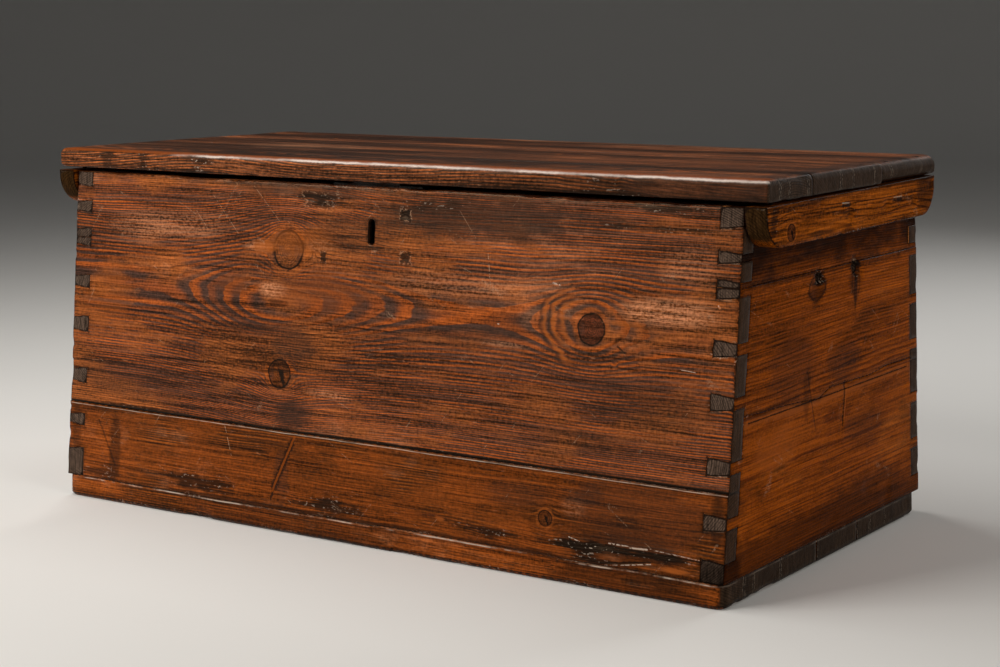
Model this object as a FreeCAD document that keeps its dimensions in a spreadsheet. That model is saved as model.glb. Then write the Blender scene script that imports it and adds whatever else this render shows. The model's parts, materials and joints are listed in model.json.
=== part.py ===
import FreeCAD, Part
import math
import os

import Sketcher
from FreeCAD import Placement, Rotation, Vector

# A carpenter's pine tool chest with a splayed front and back and through-dovetailed corners.
# Its lid hangs on two butt hinges and locks with a link-plate lock; a till slides on runners inside.
# Frame: +X along the chest to the right, +Y to the back, +Z up. The origin is on the floor,
# under the middle of the chest. All lengths are in millimetres.

SIZES = (
    # carcase
    ("box_width", 918),            # outside, end to end
    ("rim_depth", 427.6),          # outside, front to back at the rim
    ("floor_depth", 501.8),        # outside, front to back where the splay meets the floor
    ("rim_height", 400),
    ("wall_thick", 22.6),          # front and back boards, measured level
    ("end_thick", 27),
    ("end_top_setback", 1),        # the top end boards are a little thinner
    ("front_seam", 117),
    ("front_lower_proud", 1.2),    # the lower front board stands out past the upper one
    ("back_seam", 188),
    ("end_low_seam", 191),
    ("end_high_seam", 320),
    ("pin_flare", 1.5),            # how much wider each pin is at its root, on each side
    # bottom boards
    ("bottom_thick", 26.3),
    ("bottom_front_joint", 35),    # distance of the joint in front of the middle
    ("bottom_rear_joint", 70),     # distance of the joint behind the middle
    ("bottom_gap", 1.6),
    ("bottom_front_corner", 15),
    ("bottom_rear_corner", 28),
    ("bottom_arris", 3.6),
    # lid
    ("lid_thick", 22.8),
    ("lid_end_overhang", 26.4),
    ("lid_front_overhang", 4.2),
    ("lid_rear_overhang", 9.4),
    ("lid_front_joint", 118),      # distance of the joint in front of the middle
    ("lid_rear_joint", 56),        # distance of the joint behind the middle
    ("lid_front_corner", 4),
    ("lid_rear_corner", 26),
    ("lid_arris", 8),
    ("lid_rear_arris", 12),        # the rear board is worn rounder than the others
    ("batten_height", 43),
    ("batten_clear", 1.6),
    ("batten_front_proud", 1),
    ("batten_rear_setback", 20),
    ("batten_front_round", 37),
    ("batten_rear_round", 32),
    ("batten_droop", 0.55),        # degrees that each shrunken batten hangs down at the front
    # rope-handle holes and keyhole
    ("rope_hole_radius", 5.75),
    ("rope_hole_drop", 7),         # centre below the upper end seam
    ("rope_hole_front", 41),
    ("rope_hole_rear", 50),
    ("keyhole_width", 9),
    ("keyhole_height", 28),
    ("keyhole_drop", 49.5),        # centre below the rim
    # hinges
    ("hinge_inset", 169),          # each hinge's middle from the chest's end
    ("hinge_length", 76),
    ("leaf_depth", 19),
    ("leaf_thick", 2.5),
    ("leaf_gap", 0.3),
    ("barrel_radius", 4.3),
    ("hinge_pin_radius", 1.8),
    ("hinge_pin_clear", 0.05),
    ("knuckle_gap", 0.3),
    ("barrel_clear", 0.5),
    ("pin_head_radius", 3.3),
    ("pin_head_length", 1.4),
    # lock
    ("lock_plate_width", 124),
    ("lock_plate_height", 80),
    ("lock_plate_thick", 2),
    ("lock_lip_depth", 15),
    ("lock_lip_thick", 2.3),
    ("lock_case_width", 92),
    ("lock_case_height", 76),
    ("lock_case_depth", 15),
    ("lock_cap_thick", 1.5),
    ("lock_screw_inset", 13),      # from the plate's upper and lower edges
    ("staple_spread", 18),         # each staple's middle from the chest's middle
    ("staple_width", 4),
    ("staple_depth", 7),           # front to back
    ("staple_drop", 20.5),
    ("staple_leg", 1.8),
    ("staple_eye_height", 8),
    ("staple_clear", 1),
    ("lock_line", 8.3),            # middle of the bolt in front of the wall's inner face
    ("link_plate_depth", 18),
    ("link_plate_width", 66),
    ("link_screw_inset", 7),       # from the plate's ends
    ("link_screw_spread", 4.5),    # in front of and behind the plate's middle
    ("bolt_thick", 2.6),
    ("bolt_throw", 8),
    ("bolt_height", 10),
    ("bolt_arm", 6),               # width of each tongue's arm
    ("bolt_notch", 12),            # gap that the key's bit turns in
    ("bolt_notch_depth", 3.5),
    ("bolt_end", 6),               # bar left past each post
    ("bolt_drop", 18.5),           # top of the bolt's bar below the rim
    ("tongue_height", 6),
    ("tongue_drop", 9),            # top of the tongues below the rim
    ("bolt_play", 0.3),
    ("post_radius", 2),
    ("post_shoulder", 3.4),
    ("post_spread", 21),
    ("drill_pin_radius", 2.1),
    ("spring_thick", 0.8),
    ("spring_width", 3.2),
    ("spring_drop", 20),           # the spring's foot below the bolt
    ("spring_knee", 5),            # how far its knee lies in from the case and below the bolt
    # till
    ("till_width", 300),
    ("till_height", 75),
    ("till_wall", 11),
    ("till_bottom", 9),
    ("till_clear", 2.2),
    ("till_inset", 12),            # the till's end from the wall at rest
    ("till_flare", 1),
    ("till_divider_thick", 8),
    ("till_divider_place", 112),   # from the till's left end
    ("till_divider_groove", 4),
    ("till_divider_top", 12),      # below the till's rim
    ("runner_top", 300),
    ("runner_height", 20),
    ("runner_seat", 16),           # how far each runner reaches under the till
    # fastenings
    ("nail_side", 3.4),
    ("nail_head_side", 6.5),
    ("nail_head_thick", 1.5),
    ("nail_inset", 30),            # from the joints between boards
    ("bottom_nail_length", 62),
    ("batten_nail_length", 56),
    ("runner_nail_bite", 14),      # how far the nails go past the runner into the wall
    ("brad_side", 1.8),
    ("brad_length", 26),
    ("screw_radius", 1.8),
    ("screw_head_radius", 3.6),
    ("screw_head_land", 0.2),      # straight edge of the head above its countersink
    ("screw_length", 17),
)

# The joiner's marks for the pins on the ends, bottom to top: each whole pin's middle as a share
# of the wall's height, and its mean width; then the half pins at the foot and under the rim.
RIGHT_PINS = ((0.161, 15), (0.31, 16), (0.482, 15.5), (0.625, 15), (0.782, 18), (0.866, 11))
LEFT_PINS = ((0.187, 13), (0.332, 16.5), (0.502, 17), (0.642, 14), (0.788, 20), (0.887, 12.5))
RIGHT_HALF_PINS = (22.5, 20.7)
LEFT_HALF_PINS = (34, 17)
TILL_PINS = ((0.36, 8), (0.68, 8))
TILL_HALF_PINS = (7, 7)

# The low seam of the right end follows a split in the wood: distance behind the middle, and rise.
SPLIT_COURSE = ((-111, -4), (-36, -9), (-9, -1), (94, -3), (141, 1))

KNUCKLES = 5
FASTENER_FLATS = 8
MARGIN = 5          # how far a cutting outline runs past the wood, mm
SIDES = (("left", -1), ("right", 1))

doc = FreeCAD.newDocument("ToolChest")


class Size:
    """A length that knows its value and the spreadsheet expression that gives it."""

    def __init__(self, value, text):
        self.value = value
        self.text = text

    def __add__(self, other):
        other = size(other)
        return Size(self.value + other.value, f"({self.text} + {other.text})")

    def __sub__(self, other):
        other = size(other)
        return Size(self.value - other.value, f"({self.text} - {other.text})")

    def __mul__(self, other):
        other = size(other)
        return Size(self.value * other.value, f"({self.text} * {other.text})")

    def __truediv__(self, other):
        other = size(other)
        return Size(self.value / other.value, f"({self.text} / {other.text})")

    def __neg__(self):
        return Size(-self.value, f"(-1 * {self.text})")

    def __radd__(self, other):
        return size(other) + self

    def __rsub__(self, other):
        return size(other) - self

    def __rmul__(self, other):
        return size(other) * self


def size(number):
    """Give a plain number as a Size."""
    if isinstance(number, Size):
        return number
    return Size(number, f"({number})")


def make_sheet():
    """Write the driving sizes into the spreadsheet and return them by name."""
    sheet = doc.addObject("Spreadsheet::Sheet", "Sizes")
    named = {}
    for row, (name, number) in enumerate(SIZES, 1):
        sheet.set(f"A{row}", str(number))
        sheet.setAlias(f"A{row}", name)
        named[name] = Size(float(number), f"Sizes.{name}")
    doc.recompute()
    return named


S = make_sheet()
pockets = []        # each pocket with the feature before it


# --- helpers for sketches and features -------------------------------------------------------

def bind(item, path, length):
    item.setExpression(path, size(length).text)


def new_body(label):
    body = doc.addObject("PartDesign::Body", label)
    body.Label = label
    return body


def new_sketch(body, plane, offset):
    """Add a sketch on one of the body's origin planes, moved along the plane's normal."""
    sketch = body.newObject("Sketcher::SketchObject", f"{body.Name}_sketch")
    origin_plane = [item for item in body.Origin.OriginFeatures if item.Role == f"{plane}_Plane"][0]
    sketch.AttachmentSupport = (origin_plane, [""])
    sketch.MapMode = "FlatFace"
    bind(sketch, "AttachmentOffset.Base.z", offset)
    return sketch


def fixed_point(element, point, across, up):
    """Constraints, each with its expression, that hold a point at its distances from the origin."""
    return [
        (Sketcher.Constraint(kind, -1, 1, element, point, size(distance).value), distance)
        for kind, distance in (("DistanceX", across), ("DistanceY", up))
    ]


def polygon(first, points):
    """Lines, joints and held corners of a closed outline whose first line has the number first."""
    count = len(points)
    corners = [Vector(size(across).value, size(up).value, 0) for across, up in points]
    lines = [Part.LineSegment(corners[i], corners[(i + 1) % count]) for i in range(count)]
    joints = [
        (Sketcher.Constraint("Coincident", first + i, 2, first + (i + 1) % count, 1), None)
        for i in range(count)
    ]
    for i, (across, up) in enumerate(points):
        joints += fixed_point(first + i, 1, across, up)
    return lines, joints


def circle(first, centre, radius):
    across, up = centre
    middle = Vector(size(across).value, size(up).value, 0)
    ring = Part.Circle(middle, Vector(0, 0, 1), size(radius).value)
    width = (Sketcher.Constraint("Radius", first, size(radius).value), radius)
    return [ring], fixed_point(first, 3, across, up) + [width]


def draw(sketch, shapes):
    """Draw each shape: a list of corner points, or a centre and a radius."""
    elements = []
    held = []
    for shape in shapes:
        first = len(elements)
        if len(shape) == 2:
            new, constraints = circle(first, *shape)
        else:
            new, constraints = polygon(first, shape)
        elements += new
        held += constraints
    sketch.addGeometry(elements)
    sketch.addConstraint([constraint for constraint, _ in held])
    for index, (_, length) in enumerate(held):
        if length is not None:
            sketch.setExpression(f"Constraints[{index}]", size(length).text)


def extrude(body, kind, plane, shapes, low, high):
    """Add a Pad or a Pocket between two positions along the plane's axis."""
    low = size(low)
    high = size(high)
    start = -high if plane == "XZ" else low
    sketch = new_sketch(body, plane, start)
    draw(sketch, shapes)
    feature = body.newObject(f"PartDesign::{kind}", f"{body.Name}_{kind.lower()}")
    feature.Profile = sketch
    bind(feature, "Length", high - low)
    if kind == "Pocket":
        feature.Reversed = True
    return feature


def pad(body, plane, shapes, low, high):
    return extrude(body, "Pad", plane, shapes, low, high)


def pocket(body, plane, shapes, low, high):
    """Cut a pocket; check_pockets makes sure that each one takes wood or metal away."""
    before = body.Tip
    feature = extrude(body, "Pocket", plane, shapes, low, high)
    pockets.append((feature, before))
    return feature


def rectangle(low_x, low_y, high_x, high_y):
    return [(low_x, low_y), (high_x, low_y), (high_x, high_y), (low_x, high_y)]


def square(centre, side):
    across, up = centre
    half = size(side) / 2
    return rectangle(across - half, up - half, across + half, up + half)


def ring(centre, radius):
    """A round outline drawn with flats, for the small hand-made fastenings."""
    across, up = centre
    turn = 2 * math.pi / FASTENER_FLATS
    return [
        (across + radius * math.cos(turn * (i + 0.5)), up + radius * math.sin(turn * (i + 0.5)))
        for i in range(FASTENER_FLATS)
    ]


def block(label, plane, points, low, high):
    """Make a body that is one outline, extruded."""
    body = new_body(label)
    pad(body, plane, [points], low, high)
    return body


def dress(body, kind, path, length, chosen):
    """Add a Fillet or a Chamfer to the edges of the body's last feature that the chosen test picks."""
    doc.recompute()
    tip = body.Tip
    edges = [f"Edge{i}" for i, edge in enumerate(tip.Shape.Edges, 1) if chosen(edge)]
    feature = body.newObject(f"PartDesign::{kind}", f"{body.Name}_{kind.lower()}")
    feature.Base = (tip, edges)
    bind(feature, path, length)
    return feature


def fillet(body, radius, chosen):
    return dress(body, "Fillet", "Radius", radius, chosen)


def bevel(body, width, chosen):
    return dress(body, "Chamfer", "Size", width, chosen)


def near(a, b):
    return abs(a - b) < 0.01


def cut(label, base, tools):
    """Cut the tools out of the base and give the result the label."""
    tool = tools[0]
    if len(tools) > 1:
        tool = doc.addObject("Part::Compound", f"{label}_tools")
        tool.Links = tools
    base.Label = f"{label}_blank"
    result = doc.addObject("Part::Cut", label)
    result.Base = base
    result.Tool = tool
    result.Label = label
    return result


def fuse(label, parts):
    for i, part in enumerate(parts):
        part.Label = f"{label}_piece_{i}"
    result = doc.addObject("Part::MultiFuse", label)
    result.Shapes = parts
    result.Label = label
    return result


# --- shared planes ---------------------------------------------------------------------------

half_width = S["box_width"] / 2
inner_width = half_width - S["end_thick"]
rim = S["rim_height"]
splay = (S["floor_depth"] - S["rim_depth"]) / 2 / rim
half_rim = S["rim_depth"] / 2
foot = S["bottom_thick"]


def wall_out(height):
    """Distance of a wall's outer face from the middle, at a height."""
    return half_rim + splay * (rim - height)


def wall_in(height):
    return wall_out(height) - S["wall_thick"]


def wall_band(outer_depth, inner_depth, low, high, sign):
    """Outline, in the YZ plane, of a slice of a splayed wall between two depths under its outer face."""
    return [
        (sign * (wall_out(low) - outer_depth), low),
        (sign * (wall_out(high) - outer_depth), high),
        (sign * (wall_out(high) - inner_depth), high),
        (sign * (wall_out(low) - inner_depth), low),
    ]


# --- dovetails -------------------------------------------------------------------------------

def pin_sockets(end, sign, thick, low, high, pins, half_pins, flare):
    """Outlines, in the XZ plane, of the sockets that the pins of one corner fill.

    end is the X of the corner's outer face, and thick the thickness of the board with the pins.
    """
    span = high - low
    root = end - sign * thick
    tip = end + sign * MARGIN
    narrow = flare * (1 + 2 * size(MARGIN) / thick)
    sockets = []
    for share, width in pins:
        middle = low + span * share
        half = size(width) / 2
        sockets.append([
            (root, middle - half - flare),
            (tip, middle - half + narrow),
            (tip, middle + half - narrow),
            (root, middle + half + flare),
        ])
    foot_pin, rim_pin = half_pins
    sockets.append([
        (root, low - MARGIN),
        (tip, low - MARGIN),
        (tip, low + foot_pin - narrow),
        (root, low + foot_pin + flare),
    ])
    sockets.append([
        (root, high - rim_pin - flare),
        (tip, high - rim_pin + narrow),
        (tip, high + MARGIN),
        (root, high + MARGIN),
    ])
    return sockets


def cut_sockets(body, sign, corners, thick, low, high, flare):
    """Cut the sockets of each corner of a board that stands on the -Y (sign -1) or +Y side."""
    reach = wall_out(0) + MARGIN
    faces = (-reach, 0) if sign < 0 else (0, reach)
    for end, direction, pins, half_pins in corners:
        sockets = pin_sockets(end, direction, thick, low, high, pins, half_pins, flare)
        pocket(body, "XZ", sockets, *faces)


def make_wall(label, sign, low, high, proud):
    """Make one board of the front (sign -1) or back (sign 1), with its tails cut."""
    body = block(label, "YZ", wall_band(-proud, S["wall_thick"], low, high, sign),
                 -half_width, half_width)
    corners = (
        (half_width, 1, RIGHT_PINS, RIGHT_HALF_PINS),
        (-half_width, -1, LEFT_PINS, LEFT_HALF_PINS),
    )
    cut_sockets(body, sign, corners, S["end_thick"], foot, rim, S["pin_flare"])
    return body


front_lower = make_wall("front_lower_board", -1, foot, S["front_seam"], S["front_lower_proud"])
front_upper = make_wall("front_upper_blank", -1, S["front_seam"], rim, size(0))
back_lower = make_wall("back_lower_board", 1, foot, S["back_seam"], size(0))
back_upper = make_wall("back_upper_board", 1, S["back_seam"], rim, size(0))


# --- ends ------------------------------------------------------------------------------------

def low_seam_line(sign):
    """Points along the low seam of an end, from its front edge to its back edge."""
    seam = S["end_low_seam"]
    course = SPLIT_COURSE if sign > 0 else ()
    middle = [(size(depth), seam + rise) for depth, rise in course]
    return [(-wall_out(seam), seam)] + middle + [(wall_out(seam), seam)]


def end_outline(low_line, high):
    """Outline, in the YZ plane, of an end board from its lower line up to a level edge."""
    return low_line + [(wall_out(high), high), (-wall_out(high), high)]


def foot_board_outline(high_line):
    """The bottom end board follows the step between the two front boards."""
    seam = S["front_seam"]
    proud = S["front_lower_proud"]
    return [
        (-(wall_out(foot) + proud), foot),
        (wall_out(foot), foot),
    ] + high_line[::-1] + [
        (-wall_out(seam), seam),
        (-(wall_out(seam) + proud), seam),
    ]


def end_span(sign, setback):
    """Lowest and highest X of an end board."""
    faces = (inner_width, half_width - setback)
    if sign > 0:
        return faces
    return -faces[1], -faces[0]


rope_hole_height = S["end_high_seam"] - S["rope_hole_drop"]


def make_ends(side, sign):
    """Make the three boards of one end, each with its pins."""
    low_line = low_seam_line(sign)
    high_seam = S["end_high_seam"]
    high_line = [(-wall_out(high_seam), high_seam), (wall_out(high_seam), high_seam)]
    walls = [front_lower, front_upper, back_lower, back_upper]
    lower = block(f"{side}_end_lower_blank", "YZ", foot_board_outline(low_line), *end_span(sign, 0))
    middle = block(f"{side}_end_middle_blank", "YZ", end_outline(low_line, high_seam),
                   *end_span(sign, 0))
    pocket(middle, "YZ",
           [((-S["rope_hole_front"], rope_hole_height), S["rope_hole_radius"]),
            ((S["rope_hole_rear"], rope_hole_height), S["rope_hole_radius"])],
           *end_span(sign, 0))
    upper = block(f"{side}_end_upper_blank", "YZ", end_outline(high_line, rim),
                  *end_span(sign, S["end_top_setback"]))
    return [
        cut(f"{side}_end_lower_board", lower, walls),
        cut(f"{side}_end_middle_board", middle, walls),
        cut(f"{side}_end_upper_board", upper, walls),
    ]


ends = []
for side, sign in SIDES:
    ends += make_ends(side, sign)


# --- bottom ----------------------------------------------------------------------------------

def make_bottom_boards():
    """Three boards along the chest; the outer two have their long edges planed to the splay."""
    half_gap = S["bottom_gap"] / 2
    front_joint = -S["bottom_front_joint"]
    rear_joint = S["bottom_rear_joint"]
    front = block("bottom_front_board", "YZ", [
        (-wall_out(0), 0),
        (front_joint - half_gap, 0),
        (front_joint - half_gap, foot),
        (-(wall_out(foot) + S["front_lower_proud"]), foot),
    ], -half_width, half_width)
    middle = block("bottom_middle_board", "YZ",
                   rectangle(front_joint + half_gap, 0, rear_joint - half_gap, foot),
                   -half_width, half_width)
    rear = block("bottom_rear_board", "YZ", [
        (rear_joint + half_gap, 0),
        (wall_out(0), 0),
        (wall_out(foot), foot),
        (rear_joint + half_gap, foot),
    ], -half_width, half_width)
    for body, corner, sign in ((front, "bottom_front_corner", -1), (rear, "bottom_rear_corner", 1)):
        edge_line = sign * (wall_out(foot).value + wall_out(0).value) / 2

        def outer_corner(edge, line=edge_line):
            box = edge.BoundBox
            upright = box.ZLength > 1 and box.XLength < 1
            return upright and abs(edge.CenterOfMass.y - line) < 2
        fillet(body, S[corner], outer_corner)

    joints = [(joint + offset).value
              for joint in (front_joint, rear_joint) for offset in (-half_gap, half_gap)]

    def lower_arris(edge):
        box = edge.BoundBox
        along_joint = any(near(box.YMin, line) and near(box.YMax, line) for line in joints)
        return near(box.ZMax, 0) and not along_joint
    for body in (front, middle, rear):
        bevel(body, S["bottom_arris"], lower_arris)
    return [front, middle, rear]


bottoms = make_bottom_boards()


# --- fastenings ------------------------------------------------------------------------------

def make_nails(label, plane, places, head, direction, length):
    """Cut nails in one node: square heads at the plane position, square shanks that taper to the point."""
    body = new_body(label)
    neck = head + direction * S["nail_head_thick"]
    point = head + direction * size(length)
    heads = [square(place, S["nail_head_side"]) for place in places]
    pad(body, plane, heads, *in_order(head, neck))
    shank = [square(place, S["nail_side"]) for place in places]
    pad(body, plane, shank, *in_order(neck, point))
    return body


def in_order(first, second):
    if size(first).value <= size(second).value:
        return first, second
    return second, first


def make_screws(label, plane, places, head, direction, length):
    """Countersunk wood screws in one node, heads flush at the plane position."""
    body = new_body(label)
    sink = S["screw_head_radius"] - S["screw_radius"]
    neck = head + direction * (sink + S["screw_head_land"])
    heads = [ring(place, S["screw_head_radius"]) for place in places]
    shanks = [ring(place, S["screw_radius"]) for place in places]
    pad(body, plane, heads, *in_order(head, neck))

    def under_head(edge):
        box = edge.BoundBox
        low, high = (box.YMin, box.YMax) if plane == "XZ" else (box.ZMin, box.ZMax)
        return near(low, neck.value) and near(high, neck.value)
    bevel(body, sink, under_head)
    pad(body, plane, shanks, *in_order(neck, head + direction * size(length)))
    return body


def bottom_nail_places():
    """Nails up into the end boards, two to a board at each end, and into front and back."""
    end_line = half_width - S["end_thick"] / 2
    wall_line = wall_out(foot) - S["wall_thick"] / 2
    front_joint = -S["bottom_front_joint"]
    rear_joint = S["bottom_rear_joint"]
    inset = S["nail_inset"]
    depths = (
        -wall_line + 2 * inset, front_joint - inset,
        front_joint + inset, rear_joint - inset,
        rear_joint + inset, wall_line - 2 * inset,
    )
    places = []
    for sign in (-1, 1):
        for depth in depths:
            places.append((sign * end_line, depth))
    for share in (-0.72, -0.36, 0, 0.36, 0.72):
        places.append((share * half_width, -wall_line))
        places.append((share * half_width, wall_line))
    return places


bottom_nails = make_nails("bottom_nails", "XY", bottom_nail_places(), size(0), 1,
                          S["bottom_nail_length"])


# --- lid -------------------------------------------------------------------------------------

lid_under = rim + 2 * S["leaf_thick"] + S["leaf_gap"]
lid_top = lid_under + S["lid_thick"]
lid_end = half_width + S["lid_end_overhang"]
lid_front = half_rim + S["lid_front_overhang"]
lid_rear = half_rim + S["lid_rear_overhang"]
axis_depth = half_rim
axis_height = rim + S["leaf_thick"] + S["leaf_gap"] / 2


def hinge_middle(sign):
    return sign * (half_width - S["hinge_inset"])


def barrel_recess(body):
    """Hollow the wood round both hinge barrels."""
    reach = S["hinge_length"] / 2 + S["pin_head_length"] + 1
    for _, sign in SIDES:
        middle = hinge_middle(sign)
        pocket(body, "YZ",
               [((axis_depth, axis_height), S["barrel_radius"] + S["barrel_clear"])],
               middle - reach, middle + reach)


def make_lid_boards():
    """Three boards along the lid, rounded where they meet the air."""
    front = block("lid_front_board", "XY",
                  rectangle(-lid_end, -lid_front, lid_end, -S["lid_front_joint"]),
                  lid_under, lid_top)
    middle = block("lid_middle_board", "XY",
                   rectangle(-lid_end, -S["lid_front_joint"], lid_end, S["lid_rear_joint"]),
                   lid_under, lid_top)
    rear = block("lid_rear_board", "XY",
                 rectangle(-lid_end, S["lid_rear_joint"], lid_end, lid_rear),
                 lid_under, lid_top)

    def upright_at(line):
        def chosen(edge):
            upright = near(edge.BoundBox.ZLength, S["lid_thick"].value)
            return upright and near(edge.CenterOfMass.y, line)
        return chosen
    fillet(front, S["lid_front_corner"], upright_at(-lid_front.value))
    fillet(rear, S["lid_rear_corner"], upright_at(lid_rear.value))

    joints = (-S["lid_front_joint"].value, S["lid_rear_joint"].value)

    def top_arris(edge):
        box = edge.BoundBox
        on_joint = any(near(box.YMin, line) and near(box.YMax, line) for line in joints)
        return near(box.ZMin, lid_top.value) and not on_joint
    for body, radius in ((front, S["lid_arris"]), (middle, S["lid_arris"]), (rear, S["lid_rear_arris"])):
        fillet(body, radius, top_arris)
    barrel_recess(rear)
    return [front, middle, rear]


lid_boards = make_lid_boards()
barrel_recess(back_upper)

batten_front = -(lid_front + S["batten_front_proud"])
batten_rear = lid_rear - S["batten_rear_setback"]
batten_inner = half_width + S["batten_clear"]


def make_batten(side, sign):
    """A batten under one end of the lid, which hangs down a little from its rear end."""
    length = batten_rear - batten_front
    faces = (batten_inner, lid_end)
    low, high = faces if sign > 0 else (-faces[1], -faces[0])
    body = block(f"lid_{side}_batten", "YZ",
                 rectangle(-length, -S["batten_height"], 0, 0), low, high)
    for radius, end in ((S["batten_front_round"], -length.value), (S["batten_rear_round"], 0)):
        def lower_end(edge, place=end):
            middle = edge.CenterOfMass
            return near(middle.y, place) and near(middle.z, -S["batten_height"].value)
        fillet(body, radius, lower_end)
    body.Placement = Placement(Vector(), Rotation(Vector(1, 0, 0), 1))
    bind(body, "Placement.Rotation.Angle", S["batten_droop"])
    bind(body, "Placement.Base.y", batten_rear)
    bind(body, "Placement.Base.z", lid_under)
    return body


def make_batten_nails(side, sign):
    """Nails down through the lid's end into the batten, two to a board."""
    line = sign * (batten_inner + lid_end) / 2
    inset = S["nail_inset"]
    depths = (
        -lid_front + inset, -S["lid_front_joint"] - inset,
        -S["lid_front_joint"] + inset, S["lid_rear_joint"] - inset,
        S["lid_rear_joint"] + inset, batten_rear - inset,
    )
    places = [(line, depth) for depth in depths]
    return make_nails(f"{side}_batten_nails", "XY", places, lid_top, -1, S["batten_nail_length"])


battens = []
batten_nails = []
for side, sign in SIDES:
    battens.append(make_batten(side, sign))
    batten_nails.append(make_batten_nails(side, sign))


# --- hinges ----------------------------------------------------------------------------------

def leaf_screw_places(middle):
    third = S["hinge_length"] * 0.35
    line = axis_depth - S["leaf_depth"] * 0.62
    return [(middle - third, line), (middle, line - 2), (middle + third, line)]


def make_leaf(label, sign, low, own_knuckles, screws):
    """One hinge leaf with its knuckles bored for the pin, countersunk for its screws."""
    middle = hinge_middle(sign)
    half = S["hinge_length"] / 2
    radius = S["barrel_radius"]
    pitch = (S["hinge_length"] + S["knuckle_gap"]) / KNUCKLES
    body = block(f"{label}_blank", "YZ",
                 rectangle(axis_depth - S["leaf_depth"], low, axis_depth, low + S["leaf_thick"]),
                 middle - half, middle + half)
    pad(body, "YZ", [((axis_depth, axis_height), radius)], middle - half, middle + half)
    notch = rectangle(axis_depth - radius - S["barrel_clear"], axis_height - radius - 1,
                      axis_depth + radius + 1, axis_height + radius + 1)
    for knuckle in range(KNUCKLES):
        if knuckle in own_knuckles:
            continue
        start = middle - half + knuckle * pitch - S["knuckle_gap"]
        pocket(body, "YZ", [notch], start, start + pitch + S["knuckle_gap"])
    pocket(body, "YZ", [((axis_depth, axis_height), S["hinge_pin_radius"] + S["hinge_pin_clear"])],
           middle - half - 1, middle + half + 1)
    return cut(label, body, [screws])


back_leaf_screws = make_screws(
    "hinge_back_screws", "XY",
    leaf_screw_places(hinge_middle(-1)) + leaf_screw_places(hinge_middle(1)),
    rim + S["leaf_thick"], -1, S["screw_length"])
lid_leaf_screws = make_screws(
    "hinge_lid_screws", "XY",
    leaf_screw_places(hinge_middle(-1)) + leaf_screw_places(hinge_middle(1)),
    lid_under - S["leaf_thick"], 1, S["screw_length"])

leaves = []
hinge_pins = []
for side, sign in SIDES:
    leaves.append(make_leaf(f"{side}_hinge_back_leaf", sign, rim, (0, 2, 4), back_leaf_screws))
    leaves.append(make_leaf(f"{side}_hinge_lid_leaf", sign, lid_under - S["leaf_thick"], (1, 3),
                            lid_leaf_screws))
    reach = S["hinge_length"] / 2
    place = hinge_middle(sign)
    hinge_pin = new_body(f"{side}_hinge_pin")
    centre = (axis_depth, axis_height)
    pad(hinge_pin, "YZ", [(centre, S["hinge_pin_radius"])], place - reach, place + reach)
    pad(hinge_pin, "YZ", [ring(centre, S["pin_head_radius"])],
        place - reach - S["pin_head_length"], place - reach)
    pad(hinge_pin, "YZ", [ring(centre, S["pin_head_radius"])],
        place + reach, place + reach + S["pin_head_length"])
    hinge_pins.append(hinge_pin)


# --- lock ------------------------------------------------------------------------------------

inner_rim = wall_in(rim)
bolt_line = -(inner_rim + S["lock_line"])
lock_bottom = rim - S["lock_plate_height"]
case_bottom = rim - S["lock_case_height"]
keyhole_middle = rim - S["keyhole_drop"]
drill_pin_height = keyhole_middle + S["keyhole_height"] / 2 - S["keyhole_width"] / 2
plate_half = S["lock_plate_width"] / 2
case_half = S["lock_case_width"] / 2
bolt_front = bolt_line - S["bolt_thick"] / 2
bolt_rear = bolt_line + S["bolt_thick"] / 2


def lock_band(outer_depth, inner_depth, low, high):
    """Outline, in the YZ plane, of a slice of the front between two depths from its inner face."""
    wall = S["wall_thick"]
    return wall_band(wall - outer_depth, wall - inner_depth, low, high, -1)


def keyhole_shapes(low, high):
    """Straight slot and two round ends, each cut by itself."""
    radius = S["keyhole_width"] / 2
    straight = S["keyhole_height"] / 2 - radius
    slot = rectangle(-radius, keyhole_middle - straight, radius, keyhole_middle + straight)
    return (
        ([slot], low, high),
        ([((size(0), keyhole_middle + straight), radius)], low, high),
        ([((size(0), keyhole_middle - straight), radius)], low, high),
    )


def cut_keyhole(body, low, high):
    for shapes, start, end in keyhole_shapes(low, high):
        pocket(body, "XZ", shapes, start, end)


def make_lock_screws():
    """Two rows of screws; each row's heads lie at the sloping plate."""
    line = (plate_half + case_half) / 2
    rows = []
    for row, height in (("upper", rim - S["lock_screw_inset"]),
                        ("lower", lock_bottom + S["lock_screw_inset"])):
        rows.append(make_screws(f"{row}_lock_screws", "XZ", [(-line, height), (line, height)],
                                -wall_in(height), -1, S["screw_length"]))
    screws = doc.addObject("Part::Compound", "lock_screws")
    screws.Links = rows
    screws.Label = "lock_screws"
    return screws


lock_screws = make_lock_screws()


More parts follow.
